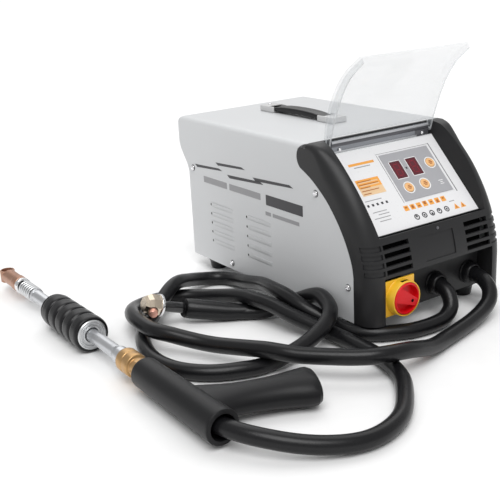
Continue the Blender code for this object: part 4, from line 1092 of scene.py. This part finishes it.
def make_screws():
    places = [(side, y, z) for side in (-1, 1) for y, z in CASING_SCREWS]
    shade_rings = bmesh.new()
    for i, (side, y, z) in enumerate(places, 1):
        screw_head(f"casing_screw_{i}", (side * (HALF_WIDTH + 0.3), y, z), (side, 0, 0), 4, f"screw_{i}")
        # a black ring under each head paints the dark shade round the screw
        add_turned(shade_rings, ((2.6, 0), (4.7, 0), (4.5, 0.35), (2.6, 0.4)), (side * (HALF_WIDTH + 0.02), y, z),
            (side, 0, 0), 28, True)
    add_piece("screw_shade_rings", shade_rings, "smooth_black")


# ---- handle

def make_handle():
    for name, closed_y, way in (("rear", 144, -1), ("front", -21, 1)):
        def span(start, stop, half, low, high):
            near, far = sorted((closed_y + way * start, closed_y + way * stop))
            return (-half, near, low), (half, far, high)

        block = add_box(bmesh.new(), *span(0, 33, 12.5, TOP_Z + 0.3, 234.5), 1.2, 3)
        end = add_piece("handle_end_" + name, block, "cast", sharp=30, body=None)
        boolean(end, box_tool(*span(3, 38, 10.9, TOP_Z + 1.8, 233.3)))
        boolean(end, box_tool(*span(20, 38, 10.9, TOP_Z + 1.8, 240)))
        soften(end, 0.3)
        finish_piece(end, "machine", "handle_bracket_" + name)
        screw_head(f"handle_end_{name}_screw", (0, closed_y + way * 8, 234.4), (0, 0, 1), 2.8)
    rise = ((-14, 228.2, 231.2), (0, 228.2, 231.6), (6, 228.2, 232.6), (15, 228.2, 234.6), (28, 228.4, 236.2),
        (45, 228.8, 237))
    fall = [(123 - y, low, high) for y, low, high in rise[::-1]]
    rings = []
    for y, low, high in [*rise, (61.5, 229, 237.2), *fall]:
        ring = []
        for k in range(24):
            angle = 2 * pi * k / 24
            across, lift = cos(angle), sin(angle)
            x = 10.4 * copysign(abs(across) ** 0.35, across)
            z = (low + high) / 2 + (high - low) / 2 * copysign(abs(lift) ** 0.5, lift)
            ring.append((x, y, z))
        rings.append(ring)
    add_piece("strap", add_loft(bmesh.new(), rings), "rubber", "handle_strap", 50)


# ---- side graphics

def side_patch(mesh_data, points, side):
    """A thin printed patch on a side wall from (y, z) points."""
    rings = [[(side * (HALF_WIDTH + 0.02 + lift), y, z) for y, z in points] for lift in (0, 0.15)]
    return add_loft(mesh_data, rings)


def make_graphics():
    """Plain straight stripes and blank bars on both side walls."""
    marks = bmesh.new()
    bars = bmesh.new()
    for side in (-1, 1):
        for start, end, z, drop in ((168, 96, 160, 7), (112, 40, 171, 7), (84, -2, 158, 8),
                (22, -66, 165, 8)):
            side_patch(marks, ((start, z), (start - 6, z - drop / 2), (end, z + 1), (end + 8, z + drop / 2)),
                side)
        side_patch(marks, ((-6, 147), (-6, 133), (-84, 133), (-84, 147)), side)
        for start, length in ((146, 60), (80, 74)):
            side_patch(bars, ((start, 146), (start, 137), (start - length, 137), (start - length, 146)), side)
        for start, length in ((-4, 12), (-20, 56)):
            side_patch(bars, ((start, 124), (start, 119), (start - length, 119), (start - length, 124)), side)
    add_piece("side_stripes", marks, "ink")
    add_piece("side_bars", bars, "grey_ink")


# ---- everything else

def make_feet():
    shape = rounded(((2.5, 1.5), (4, 0), (11, 0), (12, 1), (13.6, 10), (13.4, 11), (15.4, 14), (15.6, 19.7),
        (1, 19.7)), 0.6)
    for i in range(1, 5):
        low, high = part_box(f"foot_{i}")
        x = ((low[0] + high[0]) / 2 - ORIGIN.x) / MM
        y = ((low[1] + high[1]) / 2 - ORIGIN.y) / MM
        turned(f"rubber_foot_{i}", shape, (x, y, 0), (0, 0, 1), "rubber", f"foot_{i}")


# the CAD pieces whose shape is kept, with their new finish
KEPT_NODES = {"fan_frame": "plastic", "fan_rotor": "smooth_black", "fan_guard": "chrome",
    "transformer_core": "core", "primary_coil": "tape", "secondary_coil": "copper", "busbar_gun": "copper",
    "busbar_earth": "copper", "thyristor_module": "satin", "control_board": "board"}


def make_kept_nodes():
    for name, look in KEPT_NODES.items():
        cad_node(name, look)
    soften(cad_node("rear_panel", "paint"), 0.25)
    soften(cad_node("base_tray", "paint"), 0.25)
    soften(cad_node("switch_body", "smooth_black"), 0.4)


def make_back():
    """The mains gland, the fixings, a fuse cap and a blank rating plate on the rear panel."""
    profile = rounded(((8, -6), (8, 0.3), (12, 0.3), (12, 5), (10, 6), (9.4, 9), (9.6, 9.6), (9, 12),
        (9.2, 12.6), (8.2, 16), (4.5, 16), (4.5, -6)), 0.4)
    turned("lead_gland", profile, (-75, REAR_FOOT_Y, 45), (0, 1, 0), "rubber", "mains_gland", 40, True)
    face = REAR_FOOT_Y + 0.05
    for i, (x, z) in enumerate([(side * 36, FAN_Z + lift) for side in (-1, 1) for lift in (-36, 36)]):
        screw_head(f"fan_screw_{i + 1}", (x, face, z), (0, 1, 0), 3)
    for i, (x, z) in enumerate([(side * 106, z) for side in (-1, 1) for z in (30, 84, 138)]):
        screw_head(f"panel_screw_{i + 1}", (x, face, z), (0, 1, 0), 3.2)
    cap = rounded(((1, 0), (9, 0), (9, 2), (7.2, 3), (7, 11), (6, 12), (1, 12.2)), 0.6)
    fuse = turned("fuse_cap", cap, (-35, face, 38), (0, 1, 0), "smooth_black", count=40, body=None)
    boolean(fuse, box_tool((-40, face + 10.6, 37.2), (-30, face + 14, 38.8)))
    finish_piece(fuse, "machine")
    stud = rounded(((0.5, 0), (5.5, 0), (5.5, 3.4), (2.6, 3.6), (2.6, 8), (0.5, 8.4)), 0.4)
    turned("earth_stud", stud, (88, face, 36), (0, 1, 0), "brass", count=6, sharp=20)
    add_piece("blank_rating_plate", add_box(bmesh.new(), (58, face, 96), (98, face + 0.5, 124), 0.2), "satin")
    lines = bmesh.new()
    for row, width in enumerate((26, 32, 22, 30)):
        add_box(lines, (95 - width, face + 0.5, 116 - 5 * row), (95, face + 0.62, 117.2 - 5 * row), 0.02)
    add_piece("rating_plate_lines", lines, "grey_ink")


def main():
    make_camera()
    clamp_pieces = make_earth_end()
    gun_pieces = make_gun()
    make_cables()
    make_weight()
    make_tip()
    make_shell()
    make_bezel()
    make_glands()
    make_switch()
    make_plate()
    make_white_marks()
    make_orange_print()
    make_dark_print()
    make_segments()
    make_buttons()
    make_cover()
    make_hinge()
    make_screws()
    make_handle()
    make_graphics()
    make_feet()
    make_kept_nodes()
    make_back()
    make_stage()


main()
